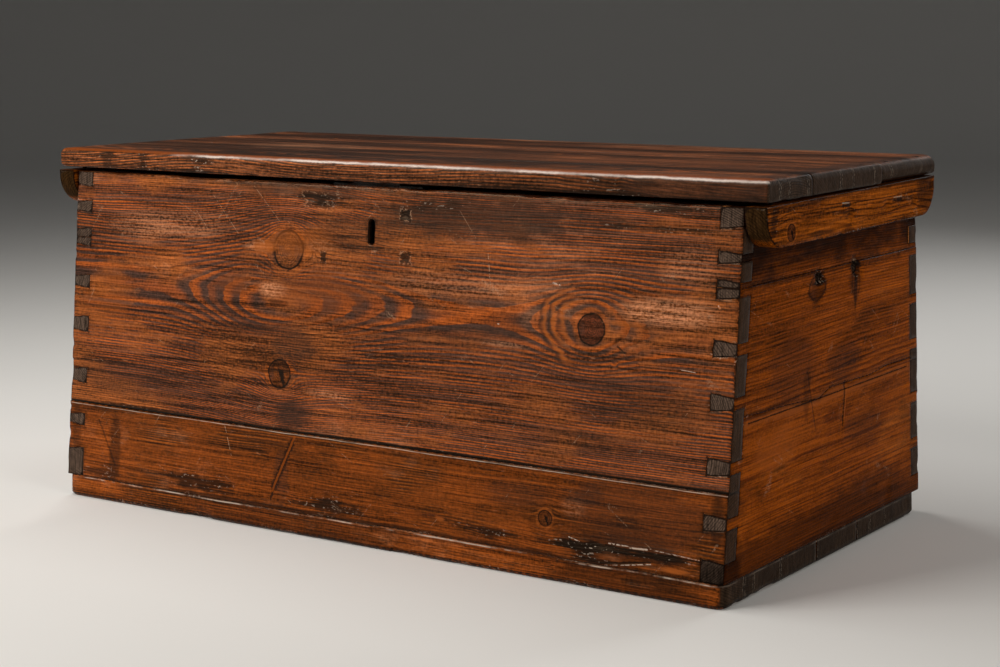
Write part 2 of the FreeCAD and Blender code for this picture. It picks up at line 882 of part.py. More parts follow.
def make_lock_plate(screws):
    """Back plate with a lip on the rim, slotted for the staples, with the bolt's posts and drill pin."""
    thick = S["lock_plate_thick"]
    lip_back = -(inner_rim + S["lock_lip_depth"])
    plate = block("lock_plate_sheet", "YZ", [
        (-wall_in(lock_bottom), lock_bottom),
        (-inner_rim, rim),
        (-inner_rim, rim + S["lock_lip_thick"]),
        (lip_back, rim + S["lock_lip_thick"]),
        (lip_back, rim),
        (-(inner_rim + thick), rim),
        (-(wall_in(lock_bottom) + thick), lock_bottom),
    ], -plate_half, plate_half)
    half_x = S["staple_width"] / 2 + S["staple_clear"]
    half_y = S["staple_depth"] / 2 + S["staple_clear"]
    slots = [rectangle(sign * S["staple_spread"] - half_x, bolt_line - half_y,
                       sign * S["staple_spread"] + half_x, bolt_line + half_y)
             for _, sign in SIDES]
    pocket(plate, "XY", slots, rim - 1, rim + S["lock_lip_thick"] + 1)
    post_height = rim - S["bolt_drop"] - S["bolt_height"] / 2
    posts = [ring((sign * S["post_spread"], post_height), S["post_shoulder"]) for _, sign in SIDES]
    necks = [ring((sign * S["post_spread"], post_height), S["post_radius"]) for _, sign in SIDES]
    root = -(wall_in(post_height) + thick / 2)
    shoulder_end = bolt_rear + S["bolt_play"]
    mechanism = new_body("lock_plate_posts")
    pad(mechanism, "XZ", posts, shoulder_end, root)
    pad(mechanism, "XZ", necks, bolt_front - 1, shoulder_end)
    drill = new_body("lock_plate_drill_pin")
    pad(drill, "XZ", [((size(0), drill_pin_height), S["drill_pin_radius"])],
        -(wall_in(drill_pin_height) + S["lock_case_depth"]),
        -(wall_in(drill_pin_height) + thick / 2))
    whole = fuse("lock_plate_whole", [plate, mechanism, drill])
    return cut("lock_plate", whole, [screws])


lock_plate = make_lock_plate(lock_screws)


def make_lock_cap():
    """Open-topped tray that closes the lock's case inside the front board."""
    depth = S["lock_case_depth"]
    thick = S["lock_cap_thick"]
    body = block("lock_cap", "YZ", lock_band(depth, S["lock_plate_thick"], case_bottom, rim),
                 -case_half, case_half)
    pocket(body, "YZ", [lock_band(depth - thick, 0, case_bottom + thick, rim + MARGIN)],
           thick - case_half, case_half - thick)
    cut_keyhole(body, -(wall_in(case_bottom) + depth + 2), -(inner_rim + depth - thick))
    return body


lock_cap = make_lock_cap()


def cut_lock_from_front():
    """Keyhole, mortise for the case and shallow bed for the plate in the upper front board."""
    cut_keyhole(front_upper, -(wall_out(case_bottom) + MARGIN), -inner_rim)
    depth = S["lock_case_depth"]
    pocket(front_upper, "YZ", [lock_band(depth, -MARGIN, case_bottom, rim + MARGIN)],
           -case_half, case_half)
    pocket(front_upper, "YZ",
           [lock_band(S["lock_plate_thick"], -MARGIN, lock_bottom, rim + MARGIN)],
           -plate_half, plate_half)


cut_lock_from_front()
front_upper.Label = "front_upper_board"


def make_bolt():
    """Comb-shaped bolt: a bar slotted for its posts, and two tongues that pass through the staples."""
    top = rim - S["bolt_drop"]
    bottom = top - S["bolt_height"]
    tongue_top = rim - S["tongue_drop"]
    tongue_bottom = tongue_top - S["tongue_height"]
    notch = S["bolt_notch"] / 2
    notch_top = bottom + S["bolt_notch_depth"]

    def tongue(sign):
        tip = sign * S["staple_spread"] - S["staple_width"] / 2 - S["staple_clear"]
        start = tip - S["bolt_throw"]
        return tip, start, start - S["bolt_arm"]
    right_tip, right_start, right_arm = tongue(1)
    left_tip, left_start, left_arm = tongue(-1)
    bar_end = S["post_spread"] + S["post_radius"] + S["bolt_end"]
    body = block("lock_bolt", "XZ", [
        (left_arm, bottom),
        (-notch, bottom),
        (-notch, notch_top),
        (notch, notch_top),
        (notch, bottom),
        (bar_end, bottom),
        (bar_end, top),
        (right_start, top),
        (right_start, tongue_bottom),
        (right_tip, tongue_bottom),
        (right_tip, tongue_top),
        (right_arm, tongue_top),
        (right_arm, top),
        (left_start, top),
        (left_start, tongue_bottom),
        (left_tip, tongue_bottom),
        (left_tip, tongue_top),
        (left_arm, tongue_top),
    ], bolt_front, bolt_rear)
    reach = S["post_radius"] + S["bolt_play"]
    post_height = top - S["bolt_height"] / 2
    slots = [rectangle(sign * S["post_spread"] - S["bolt_throw"] - reach, post_height - reach,
                       sign * S["post_spread"] + reach, post_height + reach)
             for _, sign in SIDES]
    pocket(body, "XZ", slots, bolt_front - 1, bolt_rear + 1)
    return body


lock_bolt = make_bolt()


def make_spring():
    """Bent leaf spring, riveted to the case's left wall, that presses up under the bolt."""
    thick = S["spring_thick"]
    under = rim - S["bolt_drop"] - S["bolt_height"] - S["bolt_play"]
    foot_line = under - S["spring_drop"]
    left = S["lock_cap_thick"] - case_half
    knee = left + S["spring_knee"]
    tip = S["bolt_arm"] - S["post_spread"]
    rear = -(wall_in(foot_line) + S["lock_plate_thick"] + S["bolt_play"])
    return block("lock_spring", "XZ", [
        (left, foot_line),
        (left + thick, foot_line),
        (left + thick, under - 2 * S["spring_knee"] - thick),
        (knee + thick, under - S["spring_knee"] - thick),
        (tip, under - thick),
        (tip, under),
        (knee, under - S["spring_knee"]),
        (left, under - 2 * S["spring_knee"]),
    ], rear - S["spring_width"], rear)


lock_spring = make_spring()


def link_screw_places():
    line = S["link_plate_width"] / 2 - S["link_screw_inset"]
    spread = S["link_screw_spread"]
    return [(sign * line, bolt_line + shift) for sign in (-1, 1) for shift in (-spread, spread)]


def make_link_plate():
    """Plate under the lid with two staples for the bolt."""
    top = lid_under
    bottom = lid_under - S["leaf_thick"]
    half_x = S["link_plate_width"] / 2
    half_y = S["link_plate_depth"] / 2
    plate = block("link_plate_blank", "XY",
                  rectangle(-half_x, bolt_line - half_y, half_x, bolt_line + half_y), bottom, top)
    half_staple = S["staple_depth"] / 2
    half_eye = half_staple - S["staple_leg"]
    eye_top = rim - S["tongue_drop"] + 1
    eye_bottom = eye_top - S["staple_eye_height"]
    for _, sign in SIDES:
        middle = sign * S["staple_spread"]
        faces = (middle - S["staple_width"] / 2, middle + S["staple_width"] / 2)
        pad(plate, "YZ", [rectangle(bolt_line - half_staple, bottom - S["staple_drop"],
                                    bolt_line + half_staple, bottom + 1)], *faces)
        pocket(plate, "YZ", [rectangle(bolt_line - half_eye, eye_bottom,
                                       bolt_line + half_eye, eye_top)], *faces)
    screws = make_screws("link_plate_screws", "XY", link_screw_places(), bottom, 1,
                         S["screw_length"])
    return cut("lock_link_plate", plate, [screws]), screws


link_plate, link_screws = make_link_plate()


# --- till and runners ------------------------------------------------------------------------

till_half = inner_rim - S["till_clear"]
till_low = S["runner_top"]
till_floor = till_low + S["till_bottom"]
till_rim = till_low + S["till_height"]
till_left = -inner_width + S["till_inset"]
till_right = till_left + S["till_width"]


def make_runner(label, sign):
    """A rail against a wall's inner face, level on top, that carries the till."""
    top = S["runner_top"]
    bottom = top - S["runner_height"]
    inner = till_half - S["runner_seat"]
    return block(label, "YZ", [
        (sign * inner, bottom),
        (sign * inner, top),
        (sign * wall_in(top), top),
        (sign * wall_in(bottom), bottom),
    ], -inner_width, inner_width)


front_runner = make_runner("till_front_runner", -1)
back_runner = make_runner("till_back_runner", 1)


def make_runner_nails():
    height = S["runner_top"] - S["runner_height"] / 2
    places = [(share * inner_width, height) for share in (-0.85, -0.43, 0, 0.43, 0.85)]
    inner = till_half - S["runner_seat"]
    length = wall_in(height) + S["runner_nail_bite"] - inner
    rows = [
        make_nails("front_runner_nails", "XZ", places, -inner, -1, length),
        make_nails("back_runner_nails", "XZ", places, inner, 1, length),
    ]
    nails = doc.addObject("Part::Compound", "runner_nails")
    nails.Links = rows
    nails.Label = "runner_nails"
    return nails


runner_nails = make_runner_nails()


def make_till():
    """Open tray, dovetailed at its corners, with its bottom nailed on underneath and one divider."""
    wall = S["till_wall"]
    corners = (
        (till_right, 1, TILL_PINS, TILL_HALF_PINS),
        (till_left, -1, TILL_PINS, TILL_HALF_PINS),
    )
    divider_left = till_left + S["till_divider_place"]
    divider_right = divider_left + S["till_divider_thick"]
    groove = S["till_divider_groove"]
    divider_top = till_rim - S["till_divider_top"]
    long_walls = []
    for label, sign in (("till_front", -1), ("till_back", 1)):
        low, high = in_order(sign * till_half, sign * (till_half - wall))
        body = block(label, "XZ", rectangle(till_left, till_floor, till_right, till_rim), low, high)
        cut_sockets(body, sign, corners, wall, till_floor, till_rim, S["till_flare"])
        inner_low, inner_high = in_order(sign * (till_half - wall), sign * (till_half - wall + groove))
        pocket(body, "XZ", [rectangle(divider_left, till_floor, divider_right, divider_top)],
               inner_low, inner_high)
        long_walls.append(body)
    outline = rectangle(-till_half, till_floor, till_half, till_rim)
    left = block("till_left_blank", "YZ", outline, till_left, till_left + wall)
    right = block("till_right_blank", "YZ", outline, till_right - wall, till_right)
    reach = till_half - wall + groove
    return long_walls + [
        cut("till_left_end", left, long_walls),
        cut("till_right_end", right, long_walls),
        block("till_divider", "YZ", rectangle(-reach, till_floor, reach, divider_top),
              divider_left, divider_right),
        block("till_bottom", "XY", rectangle(till_left, -till_half, till_right, till_half),
              till_low, till_floor),
    ]


till_parts = make_till()


def make_till_brads():
    """Square brads up through the till's bottom into its walls."""
    inset = S["till_wall"] / 2
    middle = (till_left + till_right) / 2
    span = S["till_width"] / 2 - inset
    line = till_half - inset
    places = []
    for sign in (-1, 1):
        for share in (-0.8, -0.27, 0.27, 0.8):
            places.append((middle + share * span, sign * line))
        for share in (-0.5, 0.5):
            places.append((middle + sign * span, share * line))
    body = new_body("till_brads")
    shanks = [square(place, S["brad_side"]) for place in places]
    pad(body, "XY", shanks, till_low, till_low + S["brad_length"])
    return body


till_brads = make_till_brads()


# --- checks and export -----------------------------------------------------------------------

NODES = (
    [front_upper, front_lower, back_upper, back_lower] + ends + bottoms + [bottom_nails]
    + lid_boards + battens + batten_nails
    + leaves + hinge_pins + [back_leaf_screws, lid_leaf_screws]
    + [lock_plate, lock_cap, lock_bolt, lock_spring, lock_screws, link_plate, link_screws]
    + [front_runner, back_runner, runner_nails] + till_parts + [till_brads]
)


def check_pockets():
    """Stop if a pocket points away from its solid and cuts nothing."""
    for feature, before in pockets:
        if feature.Shape.Volume >= before.Shape.Volume:
            raise RuntimeError(f"{feature.Label} cuts nothing")


def check_document():
    """Stop if any object failed or any sub-part has no valid solid."""
    doc.recompute()
    for item in doc.Objects:
        if "Invalid" in item.State or "Error" in item.State:
            raise RuntimeError(f"{item.Label} failed: {item.State}")
    for node in NODES:
        shape = node.Shape
        if shape.isNull() or not shape.isValid() or not shape.Solids:
            raise RuntimeError(f"{node.Label} has no valid solid")


def export():
    os.makedirs("parts", exist_ok=True)
    for node in NODES:
        node.Shape.exportStep(f"parts/{node.Label}.step")


check_document()
check_pockets()
export()

print(f"{len(NODES)} sub-parts written")
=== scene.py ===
import json
import math

import bmesh
import bpy
import numpy as np
from mathutils import Matrix, Vector, kdtree


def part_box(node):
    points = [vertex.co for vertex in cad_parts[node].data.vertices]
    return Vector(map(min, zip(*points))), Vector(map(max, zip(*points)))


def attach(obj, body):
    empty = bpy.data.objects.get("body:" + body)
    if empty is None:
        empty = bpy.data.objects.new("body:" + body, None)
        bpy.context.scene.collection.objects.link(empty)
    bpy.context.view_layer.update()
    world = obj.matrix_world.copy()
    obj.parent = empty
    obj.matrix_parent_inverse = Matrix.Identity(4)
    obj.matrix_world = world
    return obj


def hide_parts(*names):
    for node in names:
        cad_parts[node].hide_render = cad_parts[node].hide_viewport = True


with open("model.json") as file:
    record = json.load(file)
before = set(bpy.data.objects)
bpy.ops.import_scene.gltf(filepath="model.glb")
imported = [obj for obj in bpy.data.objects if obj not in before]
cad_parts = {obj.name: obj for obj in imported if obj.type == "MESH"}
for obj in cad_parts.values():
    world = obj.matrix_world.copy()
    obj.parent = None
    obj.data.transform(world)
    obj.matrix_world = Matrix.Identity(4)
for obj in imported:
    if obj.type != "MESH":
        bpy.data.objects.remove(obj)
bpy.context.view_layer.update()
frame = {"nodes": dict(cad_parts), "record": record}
nodes = frame["nodes"]

# --- sizes read from the frame, in metres ---

MM = 0.001
BEVEL = 0.5 * MM
SKIN = 3 * MM               # depth to which wear pushes the wood in
SHARP = math.radians(30)    # an edge that bends more than this is an edge of the board
CREASE = math.radians(38)   # and one that bends more than this looks sharp once worn
front_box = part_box("front_upper_board")
end_top_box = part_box("right_end_upper_board")
lid_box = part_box("lid_middle_board")
lid_rear_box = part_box("lid_rear_board")
HALF_WIDTH = front_box[1].x
RIM = front_box[1].z
FRONT_SEAM = front_box[0].z
END_SEAM = end_top_box[0].z
END_LOW_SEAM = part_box("right_end_middle_board")[0].z
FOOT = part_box("right_end_lower_board")[0].z
LOWER_PROUD = -(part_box("front_lower_board")[0].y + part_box("back_lower_board")[1].y)
SPLAY = (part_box("back_lower_board")[1].y - end_top_box[1].y) / (END_SEAM - FOOT)
LID_END = lid_box[1].x
LID_UNDER = lid_box[0].z
LID_TOP = lid_box[1].z
LID_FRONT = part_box("lid_front_board")[0].y
LID_REAR = lid_rear_box[1].y
LID_REAR_JOINT = lid_rear_box[0].y
FLOOR_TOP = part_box("bottom_middle_board")[1].z
INSIDE_X, INSIDE_Y = 0.432, 0.203    # half sizes of the dusty inside


def wall_out(height):
    """Distance of the front's or back's outer face from the middle, at a height."""
    return end_top_box[1].y + SPLAY * (END_SEAM - height)


# --- repeatable noise for the shapes ---

def lattice(cell, seed):
    """A pseudo-random number from 0 to 1 for each whole-numbered cell."""
    x, y, z = cell.T
    code = x * 374761393 + y * 668265263 + z * 1440662683 + seed * 974711
    code = (code ^ (code >> 13)) * 1274126177 & 0xFFFFFFFF
    return ((code ^ (code >> 16)) & 0xFFFF) / 65535


def noise(points, pitch, seed):
    """Smooth noise from 0 to 1; pitch is the size of its lumps along x, y and z."""
    place = points / np.array(pitch)
    cell = np.floor(place).astype(np.int64)
    share = place - cell
    share = share * share * (3 - 2 * share)
    total = np.zeros(len(points))
    for corner in range(8):
        step = np.array([corner & 1, corner >> 1 & 1, corner >> 2 & 1])
        weight = np.prod(np.where(step, share, 1 - share), axis=1)
        total += weight * lattice(cell + step, seed)
    return total


def soft_step(low, high, value):
    """0 below low, 1 above high, smooth between."""
    share = np.clip((value - low) / (high - low), 0, 1)
    return share * share * (3 - 2 * share)


# --- wear ---

def round_arrises(points, planes, radius):
    """Round the edges between planes, each (inward normal, depth of every point under it)."""
    reach = [np.clip(radius - depth, 0, None) for _, depth in planes]
    length = np.sqrt(sum(r * r for r in reach))
    pull = np.where(length > radius, 1 - radius / np.maximum(length, 1e-9), 0)
    moved = points.copy()
    for (normal, _), r in zip(planes, reach):
        moved += (r * pull)[:, None] * np.array(normal)
    return moved


def hollow(points, planes, amounts):
    """Push the points that lie in each plane's skin inward by the plane's own amount."""
    moved = points.copy()
    for (normal, depth), amount in zip(planes, amounts):
        weight = 1 - soft_step(0.3 * SKIN, SKIN, depth)
        moved += (weight * amount)[:, None] * np.array(normal)
    return moved


# Dents in the front: middle (x, z), half sizes (x, z) and depth, in millimetres.
FRONT_DENTS = (
    (46, 372, 7, 6, 1.6), (48, 325, 8, 7, 1.4), (-81, 321, 4, 5, 1.8),
    (-88, 384, 14, 6, 1.6), (-60, 376, 11, 7, 1.5), (-352, 388, 9, 4, 1.4),
    (-118, 324, 21, 18, 0.5), (-124, 182, 13, 15, 0.7), (290, 267, 16, 15, 0.6),
    (-200, 45, 24, 9, 1.4), (-170, 52, 12, 7, 1.2), (95, 44, 30, 7, 1.8),
    (238, 50, 20, 6, 1.2), (318, 47, 22, 7, 2.2), (370, 36, 30, 8, 2.6),
    (245, 65, 10, 9, 0.7), (-100, 76, 5, 30, 0.5), (320, 232, 5, 7, 1.0),
)
# Dents in the right end: middle (y, z), half sizes (y, z) and depth, in millimetres.
END_DENTS = (
    (-46, 301, 17, 19, 0.9), (60, 309, 14, 20, 1.1), (50, 322, 9, 7, 1.6),
    (-41, 313, 11, 11, 2.4), (51, 313, 12, 12, 2.6),
    (30, 186, 9, 5, 1.1), (22, 150, 5, 22, 0.7), (-150, 178, 8, 5, 0.9),
)


def dent_depth(across, up, dents):
    """How deep the dents are at each point, in metres."""
    total = np.zeros(len(across))
    for middle, height, half_x, half_z, depth in dents:
        far = ((across / MM - middle) / half_x) ** 2 + ((up / MM - height) / half_z) ** 2
        total += depth * MM * np.clip(1 - far, 0, 1) ** 1.5
    return total


def carcase_planes(points):
    """The carcase's outer planes, with how deep each point lies under them."""
    x, y, z = points.T
    out = wall_out(z)
    lean = 1 / math.hypot(1, SPLAY)
    proud = np.where(z < FRONT_SEAM, LOWER_PROUD, 0)
    return [
        ((0, lean, lean * SPLAY), (y + out + proud) * lean),
        ((0, -lean, lean * SPLAY), (out - y) * lean),
        ((-1, 0, 0), HALF_WIDTH - x),
        ((1, 0, 0), HALF_WIDTH + x),
        ((0, 0, -1), RIM - z),
        ((0, 0, 1), z),
    ]


def wear_carcase(points):
    """Rounded, chipped and dented outside of the walls, ends and bottom."""
    x, y, z = points.T
    planes = carcase_planes(points)
    lumps = noise(points, (0.03, 0.03, 0.014), 1)
    chips = soft_step(0.62, 0.85, noise(points, (0.02, 0.02, 0.011), 2))
    low = 1 - soft_step(0.03, 0.09, z)
    ragged = np.exp(-((x + 0.02) / 0.13) ** 2) + 0.7 * np.exp(-((x - 0.26) / 0.09) ** 2)
    near_rim = soft_step(RIM - 0.02, RIM - 0.002, z)
    radius = 1.1 + 1.6 * lumps + 2.6 * chips + 3.5 * low * chips
    radius = (radius + 2.2 * ragged * near_rim * chips) * MM
    moved = round_arrises(points, planes, radius)
    wave = 0.55 * MM * noise(points, (0.12, 0.09, 0.022), 3)
    side = wave + 0.22 * MM * noise(points, (0.05, 0.04, 0.008), 4)
    front = side + dent_depth(x, z, FRONT_DENTS)
    right = side + dent_depth(y, z, END_DENTS)
    foot_gouge = 2.4 * MM * low * soft_step(0.6, 0.9, noise(points, (0.06, 0.05, 0.02), 5))
    rim_gouge = 1.2 * MM * near_rim * soft_step(0.55, 0.9, noise(points, (0.03, 0.03, 0.02), 6))
    amounts = (front + foot_gouge, side, right + foot_gouge, side, rim_gouge, foot_gouge)
    return hollow(moved, planes, amounts)


def wear_lid(points):
    """Rounded, bruised edges and wavy top of the lid."""
    x, y, z = points.T
    planes = [
        ((0, 1, 0), y - LID_FRONT),
        ((0, -1, 0), LID_REAR - y),
        ((-1, 0, 0), LID_END - x),
        ((1, 0, 0), LID_END + x),
        ((0, 0, -1), LID_TOP - z),
        ((0, 0, 1), np.where(z > LID_UNDER - 0.2 * MM, z - LID_UNDER, 1)),
    ]
    lumps = noise(points, (0.045, 0.03, 0.02), 11)
    chips = soft_step(0.66, 0.9, noise(points, (0.022, 0.02, 0.012), 12))
    rear_end = soft_step(LID_REAR_JOINT - 0.002, LID_REAR_JOINT + 0.004, y)
    radius = (1.2 + 1.6 * lumps + 3.0 * chips + 11 * rear_end) * MM
    moved = round_arrises(points, planes, radius)
    wave = 0.5 * MM * noise(points, (0.14, 0.05, 0.05), 13)
    wave += 0.2 * MM * noise(points, (0.06, 0.012, 0.008), 14)
    bruise = 1.3 * MM * soft_step(0.72, 0.95, noise(points, (0.02, 0.02, 0.012), 15))
    side = wave + bruise
    nail_row = soft_step(HALF_WIDTH - 0.006, HALF_WIDTH + 0.004, np.abs(x))
    top = wave * (1 - 0.8 * nail_row)
    return hollow(moved, planes, (side, side, side, side, top, 0 * side))


def wear_batten(points):
    """Rounded lower edge and bruised outer face of a batten."""
    x, _, z = points.T
    planes = [((-np.sign(x[0]), 0, 0), LID_END - np.abs(x)), ((0, 0, 1), z - z.min())]
    wave = 0.6 * MM * noise(points, (0.04, 0.08, 0.02), 21)
    bruise = 1.5 * MM * soft_step(0.7, 0.95, noise(points, (0.02, 0.024, 0.012), 22))
    radius = (1.5 + 2.5 * noise(points, (0.03, 0.03, 0.02), 23)) * MM
    moved = round_arrises(points, planes, radius)
    return hollow(moved, planes, (wave + bruise, 0 * wave))


def leave(points):
    """No wear."""
    return points


# --- boards ---

def slice_faces(mesh, faces, axis, cuts):
    """Cut the faces by planes square to an axis, halving the set of faces at each cut."""
    if not cuts or not faces:
        return
    middle = len(cuts) // 2
    place, normal = Vector(), Vector()
    place[axis] = cuts[middle]
    normal[axis] = 1
    edges = list({edge for face in faces for edge in face.edges})
    corners = list({corner for face in faces for corner in face.verts})
    result = bmesh.ops.bisect_plane(mesh, geom=faces + edges + corners, dist=1e-6,
                                    plane_co=place, plane_no=normal)
    pieces = [item for item in result["geom"] if isinstance(item, bmesh.types.BMFace)]
    below = [face for face in pieces if face.calc_center_median()[axis] < cuts[middle]]
    above = [face for face in pieces if face.calc_center_median()[axis] >= cuts[middle]]
    slice_faces(mesh, below, axis, cuts[:middle])
    slice_faces(mesh, above, axis, cuts[middle + 1:])


def even_cuts(low, high, pitch):
    """Places that divide a length evenly into parts of about the pitch."""
    count = max(1, round((high - low) / pitch))
    return [low + (high - low) * i / count for i in range(1, count)]


def sharp_edges(mesh):
    """The edges of the board itself, without the fine divisions of its faces."""
    return [edge for edge in mesh.edges
            if len(edge.link_faces) == 2 and edge.calc_face_angle() > SHARP]


def edge_distance(mesh, points):
    """Distance of each point from the nearest sharp edge of the mesh, at most 25 mm."""
    spots = []
    for edge in sharp_edges(mesh):
        first, last = (corner.co for corner in edge.verts)
        count = max(1, int((last - first).length / (2.5 * MM)))
        spots += [first.lerp(last, i / count) for i in range(count + 1)]
    tree = kdtree.KDTree(len(spots))
    for i, spot in enumerate(spots):
        tree.insert(spot, i)
    tree.balance()
    return np.array([min(tree.find(point)[2], 25 * MM) for point in points], np.float32)


def make_board(node, body, material, pitch, wear):
    """Replace a CAD board by the same board, divided by the pitch in millimetres, and worn."""
    mesh = bmesh.new()
    mesh.from_mesh(nodes[node].data)
    bmesh.ops.remove_doubles(mesh, verts=mesh.verts, dist=1e-5)
    bmesh.ops.dissolve_limit(mesh, angle_limit=math.radians(0.4), verts=mesh.verts,
                             edges=mesh.edges)
    original = mesh.copy()
    bmesh.ops.bevel(mesh, geom=sharp_edges(mesh), offset=BEVEL, segments=1, affect="EDGES",
                    clamp_overlap=True, profile=0.5)
    low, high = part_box(node)
    coarse = 1
    for axis in range(3):
        cuts = even_cuts(low[axis], high[axis], pitch[axis] * MM * coarse)
        slice_faces(mesh, mesh.faces[:], axis, cuts)
    result = bpy.data.meshes.new(f"{node}_worn")
    bmesh.ops.triangulate(mesh, faces=[face for face in mesh.faces if len(face.verts) > 4])
    mesh.to_mesh(result)
    mesh.free()
    flat = np.empty(len(result.vertices) * 3)
    result.vertices.foreach_get("co", flat)
    points = flat.reshape(-1, 3)
    attribute = result.attributes.new("joint", "FLOAT", "POINT")
    attribute.data.foreach_set("value", edge_distance(original, points))
    original.free()
    result.vertices.foreach_set("co", wear(points).ravel())
    result.materials.append(material)
    result.shade_smooth()
    result.set_sharp_from_angle(angle=CREASE)
    board = bpy.data.objects.new(f"{node}_worn", result)
    bpy.context.scene.collection.objects.link(board)
    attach(board, body)
    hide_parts(node)


# --- short calls for material nodes ---

def operator(operation, swapped=False):
    """A method of Field that adds a math node."""
    def apply(self, other):
        pair = (other, self) if swapped else (self, other)
        return self.graph.math(operation, *pair)
    return apply


class Field:
    """A number that a material works out at every point of a surface."""

    def __init__(self, graph, socket):
        self.graph = graph
        self.socket = socket

    __add__ = operator("ADD")
    __sub__ = operator("SUBTRACT")
    __mul__ = operator("MULTIPLY")
    __truediv__ = operator("DIVIDE")
    __radd__ = operator("ADD", swapped=True)
    __rsub__ = operator("SUBTRACT", swapped=True)
    __rmul__ = operator("MULTIPLY", swapped=True)


class Graph:
    """A new material with its shader, and calls that add one node each."""

    def __init__(self, name):
        self.material = bpy.data.materials.new(name)
        self.material.use_nodes = True
        self.nodes = self.material.node_tree.nodes
        self.links = self.material.node_tree.links
        self.shader = self.nodes["Principled BSDF"]
        place = self.nodes.new("ShaderNodeTexCoord")
        self.x, self.y, self.z = self.parts(place.outputs["Object"])
        self.normal = self.parts(place.outputs["Normal"])

    def put(self, socket, value):
        if isinstance(value, Field):
            self.links.new(value.socket, socket)
        else:
            socket.default_value = value

    def add(self, kind, inputs, output=0, **settings):
        """Add a node; inputs and output go by a socket's name or number."""
        node = self.nodes.new(f"ShaderNode{kind}")
        for key, value in settings.items():
            setattr(node, key, value)
        for key, value in inputs.items():
            self.put(node.inputs[key], value)
        return Field(self, node.outputs[output])

    def parts(self, socket):
        """The x, y and z of a vector."""
        node = self.nodes.new("ShaderNodeSeparateXYZ")
        self.links.new(socket, node.inputs[0])
        return [Field(self, output) for output in node.outputs]

    def math(self, operation, *values):
        return self.add("Math", dict(enumerate(values)), operation=operation)

    def most(self, a, b):
        return self.math("MAXIMUM", a, b)

    def root(self, a):
        return self.math("SQRT", a)

    def size_of(self, a):
        return self.math("ABSOLUTE", a)

    def bell(self, value, centre, width):
        """1 at the centre, falling off smoothly over the width."""
        off = (value - centre) / width
        return self.math("EXPONENT", off * off * -1)

    def noise(self, x, y, z, scale=1, detail=2, rough=0.5):
        place = self.add("CombineXYZ", {0: x, 1: y, 2: z})
        inputs = {"Vector": place, "Scale": scale, "Detail": detail, "Roughness": rough}
        return self.add("TexNoise", inputs, "Fac")

    def step(self, value, low, high):
        """0 below low, 1 above high, smooth between; low may be above high."""
        ends = (low, high, 0, 1) if low < high else (high, low, 1, 0)
        inputs = dict(zip(("From Min", "From Max", "To Min", "To Max"), ends), Value=value)
        return self.add("MapRange", inputs, "Result", interpolation_type="SMOOTHSTEP")

    def mix(self, share, first, second):
        """Blend two colours, or two fields that hold colours."""
        first, second = (end if isinstance(end, Field) else (*end, 1) for end in (first, second))
        return self.add("Mix", {0: share, 6: first, 7: second}, 2, data_type="RGBA")

    def shade(self, colour, amount):
        """Multiply a colour by a number."""
        return self.add("VectorMath", {0: colour, "Scale": amount}, operation="SCALE")

    def attribute(self, name):
        return self.add("Attribute", {}, "Fac", attribute_name=name)

    def segment(self, across, up, first, last):
        """Distance from a straight line between two points of a face."""
        ax, ay = first
        dx = last[0] - ax
        dy = last[1] - ay
        along = ((across - ax) * dx + (up - ay) * dy) / (dx * dx + dy * dy)
        along = self.math("MINIMUM", self.most(along, 0), 1)
        off_x = across - ax - along * dx
        off_y = up - ay - along * dy
        return self.root(off_x * off_x + off_y * off_y)

    def bump(self, height, distance, before=None):
        inputs = {"Height": height, "Distance": distance, "Strength": 1}
        if before is not None:
            inputs["Normal"] = before
        return self.add("Bump", inputs)

    def finish(self, colour, roughness, normal):
        for name, value in (("Base Color", colour), ("Roughness", roughness), ("Normal", normal)):
            self.put(self.shader.inputs[name], value)
        return self.material


def paint(red, green, blue):
    """A colour as it is read off a screen, 0 to 255, in the shader's own linear values."""
    def linear(level):
        level /= 255
        return level / 12.92 if level <= 0.04045 else ((level + 0.055) / 1.055) ** 2.4
    return linear(red), linear(green), linear(blue)


# --- wood ---

# Two looks of the same old pine: where it is clean the latewood lines are darker than the ground,
# and where dirt fills the soft earlywood they stand out bright.
WALL_TONES = {
    "clean_early": paint(156, 85, 40), "clean_late": paint(70, 34, 14),
    "dirty_early": paint(74, 50, 41), "dirty_late": paint(166, 80, 28),
    "rubbed": paint(190, 126, 88), "grime": paint(22, 14, 10), "end": paint(66, 44, 29),
    "end_lines": paint(26, 17, 11), "inside": paint(172, 108, 56),
    "inside_lines": paint(112, 62, 28),
}
LOWER_TONES = dict(
    WALL_TONES, clean_early=paint(142, 70, 22), clean_late=paint(92, 42, 12),
    dirty_early=paint(70, 36, 16), dirty_late=paint(146, 74, 22))
END_TONES = dict(
    WALL_TONES, clean_early=paint(148, 72, 12), clean_late=paint(98, 42, 6),
    dirty_early=paint(84, 40, 10), dirty_late=paint(140, 68, 12), rubbed=paint(170, 98, 38),
    end=paint(94, 76, 64), end_lines=paint(30, 23, 19))
LID_TONES = dict(
    WALL_TONES, clean_early=paint(134, 76, 42), clean_late=paint(58, 30, 16),
    dirty_early=paint(58, 37, 26), dirty_late=paint(124, 66, 32), rubbed=paint(156, 112, 82),
    end=paint(64, 48, 37), end_lines=paint(20, 15, 12))
BATTEN_TONES = dict(
    END_TONES, clean_early=paint(152, 78, 16), clean_late=paint(72, 30, 5),
    end=paint(58, 38, 18), end_lines=paint(24, 14, 7))
BOTTOM_TONES = dict(LOWER_TONES, end=paint(62, 46, 34), end_lines=paint(18, 13, 10))
